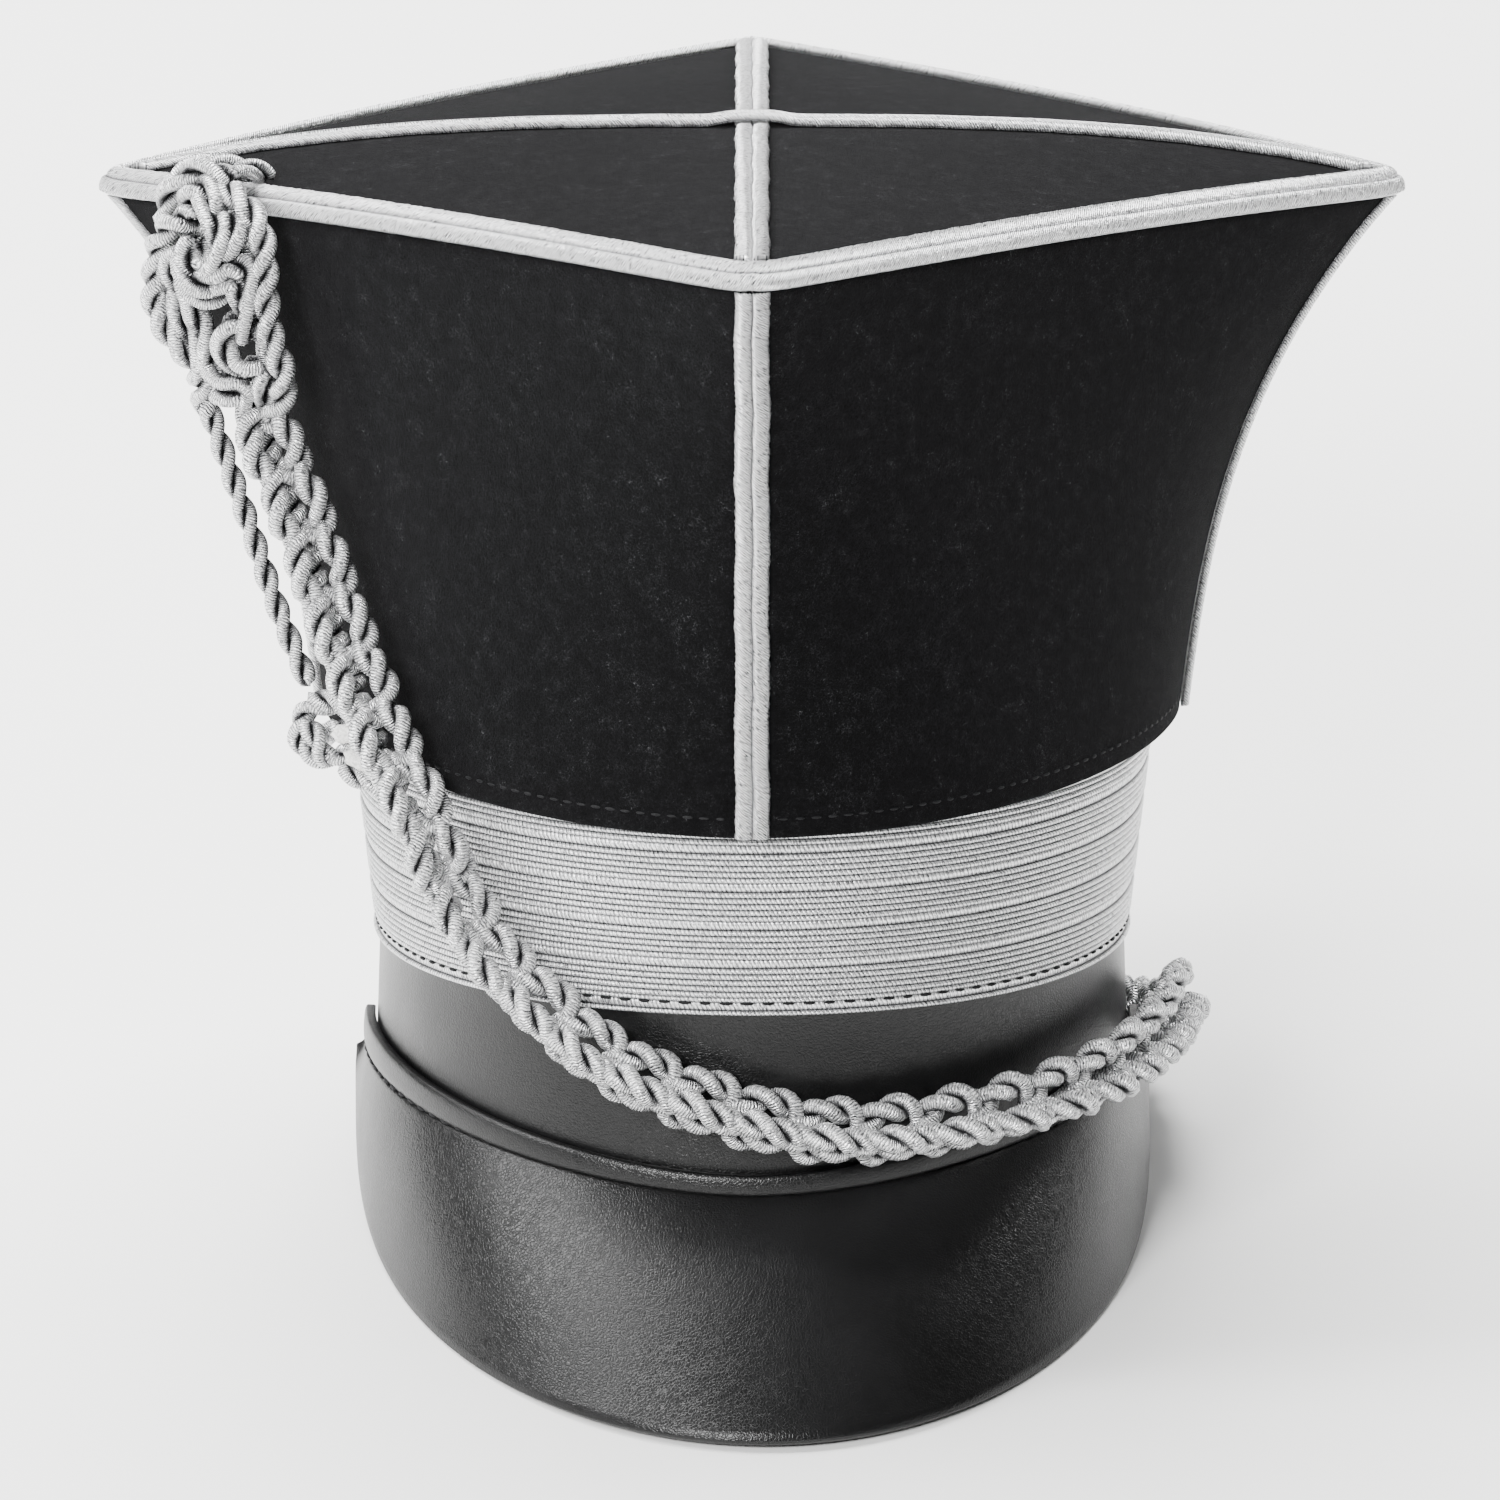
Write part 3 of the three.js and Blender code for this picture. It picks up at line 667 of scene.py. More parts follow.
def sewn(along):
    """The sideways wander of a braid sewn on by hand."""
    return sum(reach * math.sin(along * turn + phase) for reach, turn, phase in SEWN_WANDERS)


EDGE_BRAID_ARC = 12
EDGE_BRAID_COLUMNS = 300  # along one side of the square
EDGE_FUZZ = 0.09


def make_edge_braid():
    """The braid folded over the top's edge. Its outline holds (out, up, crest) values from the edge."""
    thick = BRAID_THICKNESS + GAP
    outline = [(-EDGE_BRAID_ARM, GAP, 0.4), (-EDGE_BRAID_ARM - 0.2, 0.8, 0.5)]
    for turn in steps(0, 1, EDGE_BRAID_ARC) * math.pi / 2:
        ridge = abs(math.cos(2 * turn)) ** 0.6
        reach = thick + EDGE_BRAID_ARM - 1.2 + 0.7 * ridge
        out = reach * math.sin(turn) ** 0.8 - EDGE_BRAID_ARM + 0.5
        up = reach * math.cos(turn) ** 0.8 - EDGE_BRAID_ARM + 0.5
        outline.append((out, up, GROOVE_CREST + ridge))
    outline += [(0.8, -EDGE_BRAID_ARM - 0.2, 0.5), (GAP, -EDGE_BRAID_ARM, 0.4)]
    outline += [(GAP, -1.0, 0.4), (0.0, GAP, 0.4)]
    rings, crests = [], []
    for quarter in range(4):
        for i in range(EDGE_BRAID_COLUMNS):
            angle = (quarter + (1 - math.cos(i / EDGE_BRAID_COLUMNS * math.pi)) / 2) * math.pi / 2
            for out, up, crest in outline:
                rough = FUZZ.uniform(-EDGE_FUZZ, EDGE_FUZZ)
                reach = section_radius(crown_section(1.0, out), angle) + rough * (out > 0.5)
                edge = section_radius(crown_section(1.0, min(out, 0.0)), angle)
                z = top_height(edge * math.cos(angle), edge * math.sin(angle)) + up + rough * (up > 0.5)
                rings.append((reach * math.cos(angle), reach * math.sin(angle), z))
                crests.append(crest)
    rings = np.array(rings).reshape(-1, len(outline), 3)
    piece = make_piece("soutache_top_edge", *lofted(rings, True), SOUTACHE, "silver_thread", crests)
    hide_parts("top_edge_braid")


TOP_BRAIDS = [  # name, turned a quarter, lift at the crossing, share pressed flat there
    ("front_to_back", True, 0.0, 0.5),
    ("side_to_side", False, 1.3, 0.15),
]
CROSSING_REACH = 8.0
TOP_BRAID_END_GAP = 0.9
TOP_BRAID_ROWS = 500


def make_top_braids():
    inner = CROWN_TOP_HALF - EDGE_BRAID_ARM * math.sqrt(2) - TOP_BRAID_END_GAP
    for name, turned, lift, pressed in TOP_BRAIDS:
        rings, crests = [], []
        for t in steps(-1, 1, TOP_BRAID_ROWS):
            near = math.exp(-((t * inner / CROSSING_REACH) ** 4))
            ring = []
            for side, up, crest in braid_outline():
                along = t * (inner - abs(side))
                across = frayed(side) + sewn(t * inner)
                x, y = (-across, along) if turned else (along, across)
                ring.append((x, y, top_height(x, y) + up * (1 - pressed * near) + lift * near))
                crests.append(crest)
            rings.append(ring)
        piece = make_piece(f"soutache_{name}", *lofted(rings), SOUTACHE, "silver_thread", crests)
        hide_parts(f"top_braid_{name}")


CORNER_NAMES = ["left", "back", "right", "front"]
CORNER_BRAID_FOOT = 0.002  # share of the crown's height
CORNER_BRAID_END_GAP = 0.6
CORNER_BRAID_ROWS = 260


def corner_reach(share, side, up, sideways):
    """How far out from the axis the crown lies beside a corner, raised by a height over the felt."""
    bend, exponent, half_width, half_depth = crown_section(share, up)
    length, width = (half_width, half_depth) if sideways else (half_depth, half_width)
    rest = 1 - (soft(side, bend) / width) ** exponent
    return math.sqrt((length * rest ** (1 / exponent)) ** 2 - bend**2)


def make_corner_braids():
    for corner, name in enumerate(CORNER_NAMES):
        angle = corner * math.pi / 2
        sideways = corner % 2 == 0
        tip, foot = crown_point(angle, 1.0)[2], crown_point(angle, 0.0)[2]
        stop = 1 - (EDGE_BRAID_ARM - FELT + CORNER_BRAID_END_GAP) / (tip - foot)
        cos, sin = math.cos(angle), math.sin(angle)
        rings, crests = [], []
        for share in steps(CORNER_BRAID_FOOT, stop, CORNER_BRAID_ROWS):
            z = lerp(foot, tip, share)
            ring = []
            for side, up, crest in braid_outline():
                across = frayed(side) + sewn(z)
                reach = corner_reach(share, across, up, sideways)
                ring.append((reach * cos - across * sin, reach * sin + across * cos, z))
                crests.append(crest)
            rings.append(ring)
        piece = make_piece(f"soutache_corner_{name}", *lofted(rings), SOUTACHE, "silver_thread", crests)
        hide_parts(f"corner_braid_{name}")


# Cords
SPAN_SAMPLES = 24


def between(a, b, start, end, t):
    return ((end - t) * a + (t - start) * b) / (end - start)


def spline(points, step):
    """A smooth line through the points, at equal steps: a centripetal Catmull-Rom spline."""
    points = np.asarray(points, float)
    p = np.concatenate([[2 * points[0] - points[1]], points, [2 * points[-1] - points[-2]]])
    knots = np.concatenate([[0], np.cumsum(np.linalg.norm(np.diff(p, axis=0), axis=1) ** 0.5)])
    line = []
    for i in range(1, len(p) - 2):
        t0, t1, t2, t3 = knots[i - 1 : i + 3]
        for t in np.linspace(t1, t2, SPAN_SAMPLES, endpoint=False):
            a1 = between(p[i - 1], p[i], t0, t1, t)
            a2 = between(p[i], p[i + 1], t1, t2, t)
            a3 = between(p[i + 1], p[i + 2], t2, t3, t)
            line.append(between(between(a1, a2, t0, t2, t), between(a2, a3, t1, t3, t), t1, t2, t))
    return even(np.array(line + [points[-1]]), step)


def sampled(rows, run, at):
    """Rows of three values known at running lengths, read off at other lengths."""
    return np.stack([np.interp(at, run, rows[:, k]) for k in range(3)], axis=1)


def even(line, step):
    """The same line with its points at equal steps."""
    run = lengths_along(line)
    count = max(2, int(round(run[-1] / step)))
    return sampled(line, run, np.linspace(0, run[-1], count + 1))


def tangents(line):
    flow = np.gradient(line, axis=0)
    return flow / np.linalg.norm(flow, axis=1)[:, None]


def carried_frames(line):
    """Tangents, normals and binormals that turn as little as they can along a line."""
    flow = tangents(line)
    normal = np.cross(flow[0], [0.3, 0.5, 0.8])
    normals = []
    for t in flow:
        normal = normal - t * (normal @ t)
        normal /= np.linalg.norm(normal)
        normals.append(normal)
    normals = np.array(normals)
    return flow, normals, np.cross(flow, normals)


END_SHARE = 0.45  # the size of a strand's last ring
END_BULGE = 0.5  # how far its end stands out, in radii
END_CREST = 0.6


def strand(line, radius, sides=8, away=None):
    """Points, faces, UVs and crest of one round strand with rounded ends.

    Where it is twisted with another, away points from the cord's middle to the strand's, and the crest falls
    towards the other strand.
    """
    flow, normals, binormals = carried_frames(line)
    turn = steps(0, 2 * math.pi, sides)[:-1]
    circle = np.cos(turn)[None, :, None] * normals[:, None]
    circle = circle + np.sin(turn)[None, :, None] * binormals[:, None]
    size = np.full(len(line), radius)
    size[0] = size[-1] = radius * END_SHARE
    rings = line[:, None] + circle * size[:, None, None]
    count = len(line)
    run = lengths_along(line)
    row, side = np.meshgrid(np.arange(count - 1), np.arange(sides), indexing="ij")
    row, side = row.ravel(), side.ravel()
    after = (side + 1) % sides
    near, far = row * sides, (row + 1) * sides
    faces = np.stack([near + side, near + after, far + after, far + side], 1)
    around = 2 * math.pi * radius / sides
    uvs = np.stack([
        np.stack([side * around, run[row]], 1), np.stack([(side + 1) * around, run[row]], 1),
        np.stack([(side + 1) * around, run[row + 1]], 1), np.stack([side * around, run[row + 1]], 1),
    ], 1)
    points = rings.reshape(-1, 3)
    crest = np.ones(len(points))
    if away is not None:
        # the crest falls where a strand faces the other one, where the silver material lays painted shade
        # between the plies
        facing = np.sum(circle * away[:, None], axis=2)
        crest = np.clip(0.34 + 0.9 * facing, 0, 1).ravel()
    faces, uvs = faces.tolist(), uvs.reshape(-1, 2).tolist()
    caps = [(0, True, flow[0] * -END_BULGE), (count - 1, False, flow[-1] * END_BULGE)]
    for ring, flip, out in caps:
        middle = len(points)
        points = np.concatenate([points, [line[ring] + out * radius]])
        crest = np.append(crest, END_CREST)
        for k in range(sides):
            a, b = ring * sides + k, ring * sides + (k + 1) % sides
            faces.append([middle, b, a] if flip else [middle, a, b])
            uvs += [(k * around, run[ring])] * 3
    return points, faces, uvs, crest


def joined(parts):
    """Several meshes as one."""
    points, faces, uvs, crests, first = [], [], [], [], 0
    for part_points, part_faces, part_uvs, part_crest in parts:
        points.append(part_points)
        faces += [[k + first for k in face] for face in part_faces]
        uvs += part_uvs
        crests.append(part_crest)
        first += len(part_points)
    return np.concatenate(points), faces, uvs, np.concatenate(crests)


CORD_IN_STRAND_RADII = 3.85
STRAND_SPREAD = 0.92  # from the cord's middle to a strand's, in strand radii


def twisted(line, diameter=CORD_DIAMETER, lay=CORD_LAY, sides=8, phase=0.0):
    """The two strands of a twisted cord along a line."""
    _, normals, binormals = carried_frames(line)
    radius = diameter / CORD_IN_STRAND_RADII
    turn = lengths_along(line) / lay * 2 * math.pi + phase
    away = np.cos(turn)[:, None] * normals + np.sin(turn)[:, None] * binormals
    return [
        strand(line + away * radius * STRAND_SPREAD * sign, radius, sides, away * sign) for sign in (1, -1)
    ]


def make_cord_piece(name, parts, material=None):
    points, faces, uvs, crest = joined(parts)
    return make_piece(name, points, faces, uvs, material or GIMP, "silver_thread", crest)


# Routes of the cords' middles, in upright millimetres
PLAIT_ROUTE = [
    (-109.6, -43, 171), (-107.6, -45.6, 165.2), (-103.4, -49, 155.6), (-98.2, -53.4, 143),
    (-93.2, -58.6, 128.6), (-87.9, -65, 115.4), (-80.4, -77.6, 99.2), (-73.2, -84.6, 85.7),
    (-67.6, -81.4, 70.8), (-59.2, -87.2, 56.1),
    (-46.7, -94.7, 44.7), (-33.4, -101.2, 35), (-19.7, -105.4, 29), (-2.7, -107.8, 23.6), (11.5, -107.3, 20),
    (27, -104.8, 18.6), (43.8, -98.2, 19.2), (58, -89.3, 20), (70.9, -77, 21.3), (80.6, -63, 22.6),
    (88.5, -44.8, 24.2), (93, -27.8, 25), (95, -13, 25.2), (96.6, 0, 22.8), (94.6, 11, 17),
    (90.8, 32, 9.8), (79, 60.2, 8.2), (56, 87.9, 12.2), (25.8, 104.4, 22.4), (-3.6, 109, 36.6),
    (-30.6, 104.6, 52), (-48, 96.4, 63.6), (-56.2, 91.4, 69.2),
]
HANGING_CORD_ROUTE = [
    (-122.7, -30.9, 170), (-118.4, -32.6, 157.4), (-114.4, -35, 146.1), (-110.6, -37.4, 135.3),
    (-107.2, -40, 125.6), (-103.1, -43, 115.6), (-99.4, -45.6, 107.4),
]
RETURN_CORD_ROUTE = [
    (-99.2, -39.8, 93), (-99.4, -32.6, 91.2), (-99.4, -24, 89.4), (-97.6, -12, 87.4), (-95, 2, 85.8),
    (-92.7, 22, 84), (-86.7, 44, 81.2), (-78.3, 63.5, 77.6), (-75.4, 71.6, 76),
]

# How far the plait's open face is turned from outwards to upwards, in degrees, at shares of its length
FACE_TURN = [(0.0, 72), (0.22, 68), (0.36, 62), (0.46, 48), (0.56, 28), (1.0, 20)]
LINK_HALF_LENGTH = 0.72 * LINK_PITCH
LINK_HALF_WIDTH = 4.2
PLAITED_CORD_DIAMETER = 6.8
PLAITED_CORD_LAY = 13.5
LINK_BACK = 4.9  # how far the back bars stand behind a link's round end
LINK_FRONT = 3.6  # and its legs in front of it
LINK_SAMPLES = 64
PLAIT_STAND_OFF = 0.7


def plait_line():
    """The plait's route and the cord that is plaited along it.

    The legs of each link pass through the link before it, and a bar behind joins them.
    """
    route = spline(PLAIT_ROUTE, 1.0)
    run = lengths_along(route)
    flow = tangents(route)
    out = np.stack([route[:, 0], route[:, 1] / BODY_DEPTH_SHARE**2, np.zeros(len(route))], 1)
    out -= flow * np.sum(out * flow, axis=1)[:, None]
    out /= np.linalg.norm(out, axis=1)[:, None]
    up = np.cross(out, flow)
    face = np.radians(np.interp(run / run[-1], *zip(*FACE_TURN)))[:, None]
    front = np.cos(face) * out + np.sin(face) * up
    side = np.cross(front, flow)
    links = int(run[-1] / LINK_PITCH)
    pitch = (run[-1] - 1) / links
    t = np.arange(-math.pi, (2 * links - 1) * math.pi, 2 * math.pi / LINK_SAMPLES)
    phase = np.mod(t + math.pi, 2 * math.pi) - math.pi
    link = np.round((t - phase) / (2 * math.pi))
    move = phase / (2 * math.pi) - (0.85 * np.sin(phase) - 0.3 * np.sin(2 * phase)) / math.pi
    along = 0.5 + pitch * (link + 0.5 + move) + LINK_HALF_LENGTH * np.cos(phase)
    across = LINK_HALF_WIDTH * (np.sin(phase) + 0.3 * np.sin(2 * phase))
    level = -LINK_BACK / 2
    mid, swing, legs = (level + LINK_FRONT) / 2, LINK_BACK / 2, (level - LINK_FRONT) / 2
    height = mid + swing * np.cos(phase) + legs * np.cos(2 * phase)
    place, sides, fronts, outs = (sampled(rows, run, along) for rows in (route, side, front, out))
    line = place + sides * across[:, None] + fronts * height[:, None] + outs * PLAIT_STAND_OFF
    return route, even(line, 1.15)


def declare(node):
    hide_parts(node)


def make_cords():
    route, line = plait_line()
    plait = make_cord_piece("plaited_line", twisted(line, PLAITED_CORD_DIAMETER, PLAITED_CORD_LAY))
    end_knot = make_end_knot()
    declare("cap_line_plait")
    hanging_route = spline(HANGING_CORD_ROUTE, 0.8)
    hanging = make_cord_piece("twisted_cord", twisted(hanging_route, sides=12))
    side_knot = make_side_knot()
    declare("hanging_cord")
    return_route = spline(RETURN_CORD_ROUTE, 0.8)
    returning = make_cord_piece("twisted_cord_to_end_knot", twisted(return_route, sides=10))
    declare("return_cord")


END_KNOT_AT = (-68.6, 83.2, 73.5)
END_KNOT_TURN = 0.7
END_KNOT_CORD = 4.6
END_KNOT_LAY = 14.0


def make_end_knot():
    """A two-lobed overhand knot with its ends tucked in."""
    t = steps(0, 2 * math.pi, 90)
    reach = 4.1 + 1.9 * np.cos(3 * t)
    lobes = np.stack([reach * np.cos(2 * t), reach * np.sin(2 * t), 2.6 * np.sin(3 * t)], 1)
    turned = lobes[:, [0, 2, 1]] @ np.array(Matrix.Rotation(END_KNOT_TURN, 3, "Z")).T
    line = even(turned + np.array(END_KNOT_AT), 0.9)
    piece = make_cord_piece("end_knot_cord", twisted(line, END_KNOT_CORD, END_KNOT_LAY))
    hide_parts("end_knot")
    return piece


# The side knot's cords, in millimetres from its middle: towards the wearer's left, backward and up
SIDE_KNOT_AT = (-94.6, -49.0, 97.0)
SIDE_KNOT_ROUTES = [
    [(7, -4, 4.5), (1.5, -1.5, 6.8), (-5, 0.5, 5), (-7.2, 0.8, 0), (-5.4, 0, -4.6), (0, -2, -5.4),
     (6, -5, -3)],
    [(-5.5, -0.5, 2.5), (-2.8, -3.2, -0.8), (-1.5, -3.6, -4.2), (1.0, -2.0, -6.0)],
    [(-4, -1, 8.5), (1, -3.5, 7.6), (7, -7, 6.8)],
    [(1, -4, 3), (4.5, -6, 0.5), (7, -8, -3.5), (11, -10.5, -7.5)],
    [(3, -5, -7), (8, -8, -9.2), (12.5, -10.5, -10)],
]
SIDE_KNOT_LAY = 13.0
# The cut ends of the cord, which are bound with pale tape: middle and direction
CUT_END_HALF_LENGTH = 3.2
CUT_END_RADIUS = 2.1
CUT_ENDS = [((4.4, -9.8, 2.0), (0.9, -0.25, 0.1)), ((7.0, -10.2, -4.0), (0.8, -0.2, -0.35))]


def make_side_knot():
    centre = np.array(SIDE_KNOT_AT)
    parts = []
    for route in SIDE_KNOT_ROUTES:
        parts += twisted(spline(np.array(route) + centre, 0.7), CORD_DIAMETER, SIDE_KNOT_LAY)
    piece = make_cord_piece("side_knot_cord", parts)
    ends = []
    for middle, way in CUT_ENDS:
        way = np.array(way) / np.linalg.norm(way)
        along = steps(-CUT_END_HALF_LENGTH, CUT_END_HALF_LENGTH, 8)
        line = np.array([np.array(middle) + centre + way * d for d in along])
        ends.append(strand(line, CUT_END_RADIUS, 12))
    bound = make_cord_piece("bound_cord_ends", ends, TAPE)
    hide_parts("side_knot")
    return [piece, bound]


# The rosette's cords in its own space, in millimetres: along the panel, out of it and up
ROSETTE_AT = (-121.8, -39.6, 207.6)
ROSETTE_ALONG = (0.825, -0.565, 0.0)
ROSETTE_OUT = (-0.565, -0.825, 0.0)
ROSETTE_ROUTES = [
    [(7.5, 3, 13), (14, 4.5, 10.5), (18, 4, 5.5), (19, 3.5, -1), (19, 3, -9), (19.5, 3, -16), (20.5, 2, -22),
     (22, 1, -27.5), (21, -0.5, -32.5), (18, -2, -37), (14.5, -3, -41)],
    [(-11, 1, 3.5), (-8.5, 2.5, 8.5), (-4.5, 3.5, 13), (0.5, 3.5, 16), (5.5, 3, 16.5), (9, 2, 14.5)],
    [(-2.5, 2, 6.5), (0, 4.5, 11), (4, 5.5, 13), (7, 6, 11), (7.5, 5, 8)],
    [(2, 6, 5.5), (-1.5, 7, 5.5), (-6, 6.5, 2.5), (-9.5, 5, -2.5), (-11, 4, -7.5), (-12, 3.5, -13),
     (-10, 3, -19.5), (-5.5, 2.5, -24.5), (-3, 0, -29), (-4, -3.4, -33.6), (-5.6, -6.4, -38),
     (-4.8, -6.2, -42)],
    [(0, 5.5, 0.5), (-4.5, 6, -4.5), (-3.5, 6, -9), (0, 5.5, -13), (1.5, 4.5, -17.5), (2, 3, -22.5),
     (2.5, 1, -29), (3, -1, -34)],
    [(2.5, 6.5, 9.5), (7, 7.5, 7.5), (9.5, 8, 5), (10.5, 9, 0.5), (9.5, 8.5, -4.5), (6, 6, -6), (4, 5, -2)],
    [(10.5, 5, 7.5), (13, 6.5, 5.5), (13, 7, 1.5), (11, 6, -1.5)],
    [(2, 8, 1.5), (2, 9, -2), (3.5, 8.5, -5), (4, 6.5, -3.5), (3, 6, 1)],
    [(-2.5, 8, -4), (1.5, 9, -7), (7, 9.5, -8), (10.5, 8.5, -7), (12, 7, -4), (15, 6, -4), (15.5, 5, -8),
     (15.5, 4, -13.5)],
    [(0, 6, -10), (6, 7.5, -11), (9.5, 7.5, -10), (13, 6.5, -7.5), (14.5, 6, -11), (14.5, 4.5, -16.5),
     (15, 3.5, -21)],
    [(14, 4, -17), (12, 6, -16.5), (10, 6.5, -19.5), (10, 6, -23.5), (12.5, 5.5, -26.5), (15.5, 4.5, -26.5),
     (17, 3, -25.5)],
    [(1.5, 1, -30), (7, 2.5, -30.5), (11, 3, -29), (14.5, 2.5, -29.5)],
    [(4, 1, -34), (7.5, 2, -34), (11, 2, -33), (13, 1, -34)],
    [(-8, 1, 4), (-2, 0, 8), (6, 0, 8), (12, 1, 3), (12, 1, -4), (6, 1, -8), (-4, 1, -8), (-9, 1, -3)],
    [(-4, 2, 1), (2, 2, 4), (8, 2, 1), (6, 2, -3), (-1, 2, -3)],
    [(-7.5, 2.5, 0), (-7.8, 3, -6), (-7, 3, -12), (-4.5, 2.6, -18), (-1.5, 1.6, -24), (0.5, 0.5, -29)],
    [(15, 1.5, 2), (15.5, 1.5, -5), (16.5, 1, -12), (17.5, 0.5, -20), (19, 0, -27)],
    [(12, 2, -29.5), (11, 0, -34), (11, -2.5, -38), (12.5, -3.5, -43)],
    [(17, 1.5, -27), (16, -0.5, -33), (15.5, -2.5, -38)],
]
LONG_ROUTES = (0, 3)  # the two outer ropes, which are laid tighter
ROSETTE_ROPE = 6.6
LONG_ROPE_LAY = 14.0
SHORT_ROPE_LAY = 24.0
ROSETTE_HOOK = [
    (-124.5, -38, 213), (-122.4, -35.4, 220.4), (-118.6, -31.6, 222.8), (-115, -28.4, 221.6),
    (-113.6, -27, 219.4),
]
ROSETTE_HOOK_OFFSETS = (-4.6, 0.6, 5.4)
ROSETTE_HOOK_ROPE = 5.6


def make_rosette():
    frame_rows = np.array([ROSETTE_ALONG, ROSETTE_OUT, (0, 0, 1)])
    parts = []
    for number, route in enumerate(ROSETTE_ROUTES):
        line = spline(np.array(route) @ frame_rows + ROSETTE_AT, 0.7)
        lay = LONG_ROPE_LAY if number in LONG_ROUTES else SHORT_ROPE_LAY
        parts += twisted(line, ROSETTE_ROPE, lay, phase=number * 1.1)
    for along in ROSETTE_HOOK_OFFSETS:
        hook = np.array(ROSETTE_HOOK) + np.array([along, -along, 0.0])
        parts += twisted(spline(hook, 0.7), ROSETTE_HOOK_ROPE, SHORT_ROPE_LAY, phase=along)
    piece = make_cord_piece("rosette_cord", parts)
    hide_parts("rosette")


# Stitches
def stitch_tree():
    """Geometry nodes that set thread stitches, each a little different, at even steps along edges."""
    tree = bpy.data.node_groups.new("sewn_stitches", "GeometryNodeTree")
    inputs = [
        ("Geometry", "NodeSocketGeometry"), ("Spacing", "NodeSocketFloat"), ("Length", "NodeSocketFloat"),
        ("Thickness", "NodeSocketFloat"), ("Seed", "NodeSocketInt"), ("Material", "NodeSocketMaterial"),
    ]
    for name, kind in inputs:
        tree.interface.new_socket(name, in_out="INPUT", socket_type=kind)
    tree.interface.new_socket("Geometry", in_out="OUTPUT", socket_type="NodeSocketGeometry")
    given = add(tree, "NodeGroupInput").outputs
    curve = add(tree, "GeometryNodeMeshToCurve", links={"Mesh": given["Geometry"]})
    evenly = add(
        tree, "GeometryNodeResampleCurve", {"mode": "LENGTH"},
        links={"Curve": curve.outputs["Curve"], "Length": given["Spacing"]},
    )
    flow = add(tree, "GeometryNodeInputTangent")
    turn = add(
        tree, "FunctionNodeAlignRotationToVector", {"axis": "X"}, links={"Vector": flow.outputs["Tangent"]}
    )
    uneven = add(
        tree, "FunctionNodeRandomValue", {"data_type": "FLOAT_VECTOR"},
        {0: (0.8, 0.85, 0.85), 1: (1.08, 1.15, 1.15)}, {"Seed": given["Seed"]},
    )
    thread = add(tree, "GeometryNodeMeshUVSphere", values={"Segments": 8, "Rings": 6, "Radius": 0.5})
    size = add(
        tree, "ShaderNodeCombineXYZ",
        links={"X": given["Length"], "Y": given["Thickness"], "Z": given["Thickness"]},
    )
    stitch = add(
        tree, "GeometryNodeTransform",
        links={"Geometry": thread.outputs["Mesh"], "Scale": size.outputs["Vector"]},
    )
    row = add(
        tree, "GeometryNodeInstanceOnPoints",
        links={
            "Points": evenly.outputs["Curve"], "Instance": stitch.outputs["Geometry"],
            "Rotation": turn.outputs["Rotation"], "Scale": uneven.outputs["Value"],
        },
    )
    smooth = add(tree, "GeometryNodeSetShadeSmooth", links={"Geometry": row.outputs["Instances"]})
    real = add(tree, "GeometryNodeRealizeInstances", links={"Geometry": smooth.outputs["Geometry"]})
    dressed = add(
        tree, "GeometryNodeSetMaterial",
        links={"Geometry": real.outputs["Geometry"], "Material": given["Material"]},
    )
    add(tree, "NodeGroupOutput", links={"Geometry": dressed.outputs["Geometry"]})
    return tree


STITCHES = stitch_tree()


def sew(name, line, spacing, length, thickness, seed):
    """A row of stitches along a line of upright points."""
    guide = bpy.data.meshes.new(name + "_guide")
    guide.from_pydata(placed(line), [(i, i + 1) for i in range(len(line) - 1)], [])
    holder = linked(name + "_guide", guide)
    modifier = holder.modifiers.new("stitches", "NODES")
    modifier.node_group = STITCHES
    values = {
        "Spacing": spacing * MM, "Length": length * MM, "Thickness": thickness * MM,
        "Seed": seed, "Material": THREAD,
    }
    for item in STITCHES.interface.items_tree:
        if item.in_out == "INPUT" and item.name in values:
            modifier[item.identifier] = values[item.name]
    seen = holder.evaluated_get(bpy.context.evaluated_depsgraph_get())
    mesh = bpy.data.meshes.new_from_object(seen)
    mesh.name = name
    holder.modifiers.remove(modifier)
    bpy.data.objects.remove(holder)
    bpy.data.meshes.remove(guide)
    piece = linked(name, mesh)
    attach(piece, "root")


PEAK_STITCH_SINK = 0.3  # how far below the peak's plain face its stitches' middles lie
BAND_STITCH_RISE = 2.9  # over the band's foot
BAND_STITCH_SHARE = 0.62  # of the band's thickness
HEM_STITCH_INSET = 0.06  # radians from each corner
HEM_STITCH_SHARE = 0.034  # of the crown's height
HEM_STITCH_SINK = 0.12


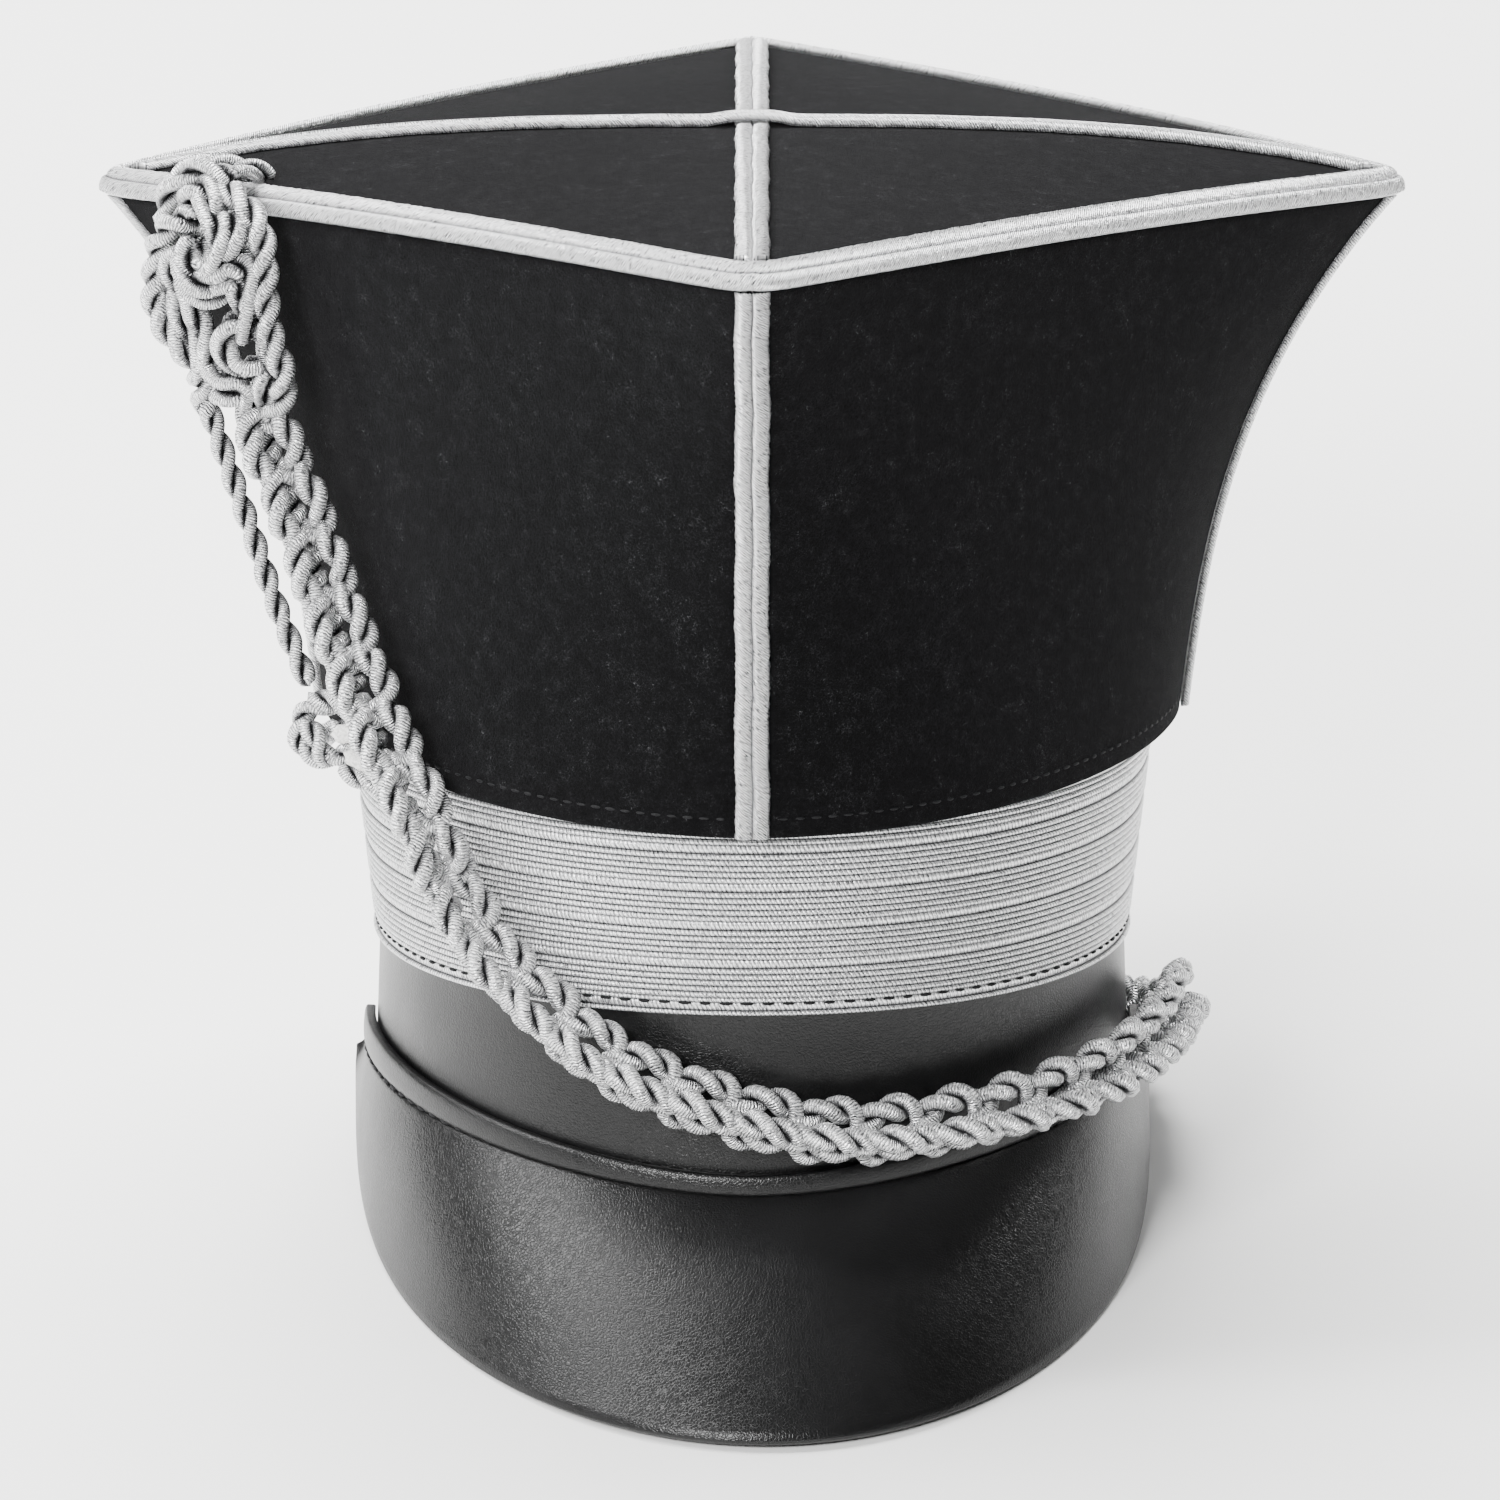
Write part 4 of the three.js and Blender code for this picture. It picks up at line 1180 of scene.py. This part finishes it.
def make_stitches():
    lip = []
    for t in steps(-0.97, 0.97, 160):
        turn = math.sin(t * math.pi / 2) * math.pi / 2
        lip.append(peak_inner(turn, 0.0) + peak_outward(turn, 0.0) * (PEAK_THICKNESS - PEAK_STITCH_SINK))
    lip = even(np.array(lip), 1.0)
    sew("peak_stitches", lip, spacing=5.2, length=3.9, thickness=1.25, seed=3)
    band = []
    for angle in steps(0, 2 * math.pi, 300):
        foot = band_foot(angle)
        band.append(body_point(angle, foot + BAND_STITCH_RISE, GAP + BAND_THICKNESS * BAND_STITCH_SHARE))
    sew("band_stitches", np.array(band), spacing=4.6, length=2.9, thickness=0.7, seed=5)
    for quarter, name in enumerate(PANEL_NAMES):
        start, end = quarter * math.pi / 2 + HEM_STITCH_INSET, (quarter + 1) * math.pi / 2 - HEM_STITCH_INSET
        hem = [crown_point(angle, HEM_STITCH_SHARE, -HEM_STITCH_SINK) for angle in steps(start, end, 90)]
        hem = np.array(hem)
        sew(f"hem_stitches_{name}", hem, spacing=3.6, length=2.6, thickness=0.7, seed=7 + quarter)


make_body()
make_band()
make_crown_panels()
make_top_panel()
make_peak()
make_edge_braid()
make_top_braids()
make_corner_braids()
make_rosette()
make_cords()
make_stitches()


# Floor and light, in metres
FLOOR_HALF = 6


def make_floor():
    mesh = bpy.data.meshes.new("floor")
    corners = [(x * FLOOR_HALF, y * FLOOR_HALF, 0) for x, y in ((-1, -1), (1, -1), (1, 1), (-1, 1))]
    mesh.from_pydata(corners, [], [(0, 1, 2, 3)])
    floor = linked("floor", mesh)
    material, tree = new_material("pale_paper")
    finish_material(tree, {"Base Color": linear("#f4f4f3"), "Roughness": 0.8}, {})
    mesh.materials.append(material)


LIGHTS = [  # name, place, aimed at, size, power in watts
    ("softbox_above", (-0.3, 0.9, 1.9), (0.0, 0.1, 0.1), (1.8, 1.4), 160),
    ("softbox_upper_left", (-1.75, 0.05, 1.75), (0.0, 0.0, 0.1), (0.5, 1.5), 62),
    ("softbox_front_left", (-1.1, -2.4, 1.8), (0.0, 0.0, 0.12), (1.2, 0.9), 170),
    ("softbox_left", (-2.1, -0.3, 0.6), (0.0, 0.0, 0.12), (0.4, 1.2), 6),
    ("softbox_right_back", (1.75, 1.45, 1.1), (0.0, 0.0, 0.1), (0.4, 1.0), 22),
]
WORLD_STRENGTH = 0.2


def make_lights():
    for name, place, target, size, power in LIGHTS:
        data = bpy.data.lights.new(name, "AREA")
        data.shape = "RECTANGLE"
        data.size, data.size_y = size
        data.energy = power
        light = linked(name, data)
        light.location = place
        light.rotation_euler = (Vector(target) - Vector(place)).to_track_quat("-Z", "Y").to_euler()
    world = bpy.data.worlds.new("studio")
    world.use_nodes = True
    background = world.node_tree.nodes["Background"]
    background.inputs["Color"].default_value = linear("#ffffff")
    background.inputs["Strength"].default_value = WORLD_STRENGTH
    bpy.context.scene.world = world


make_floor()
make_lights()
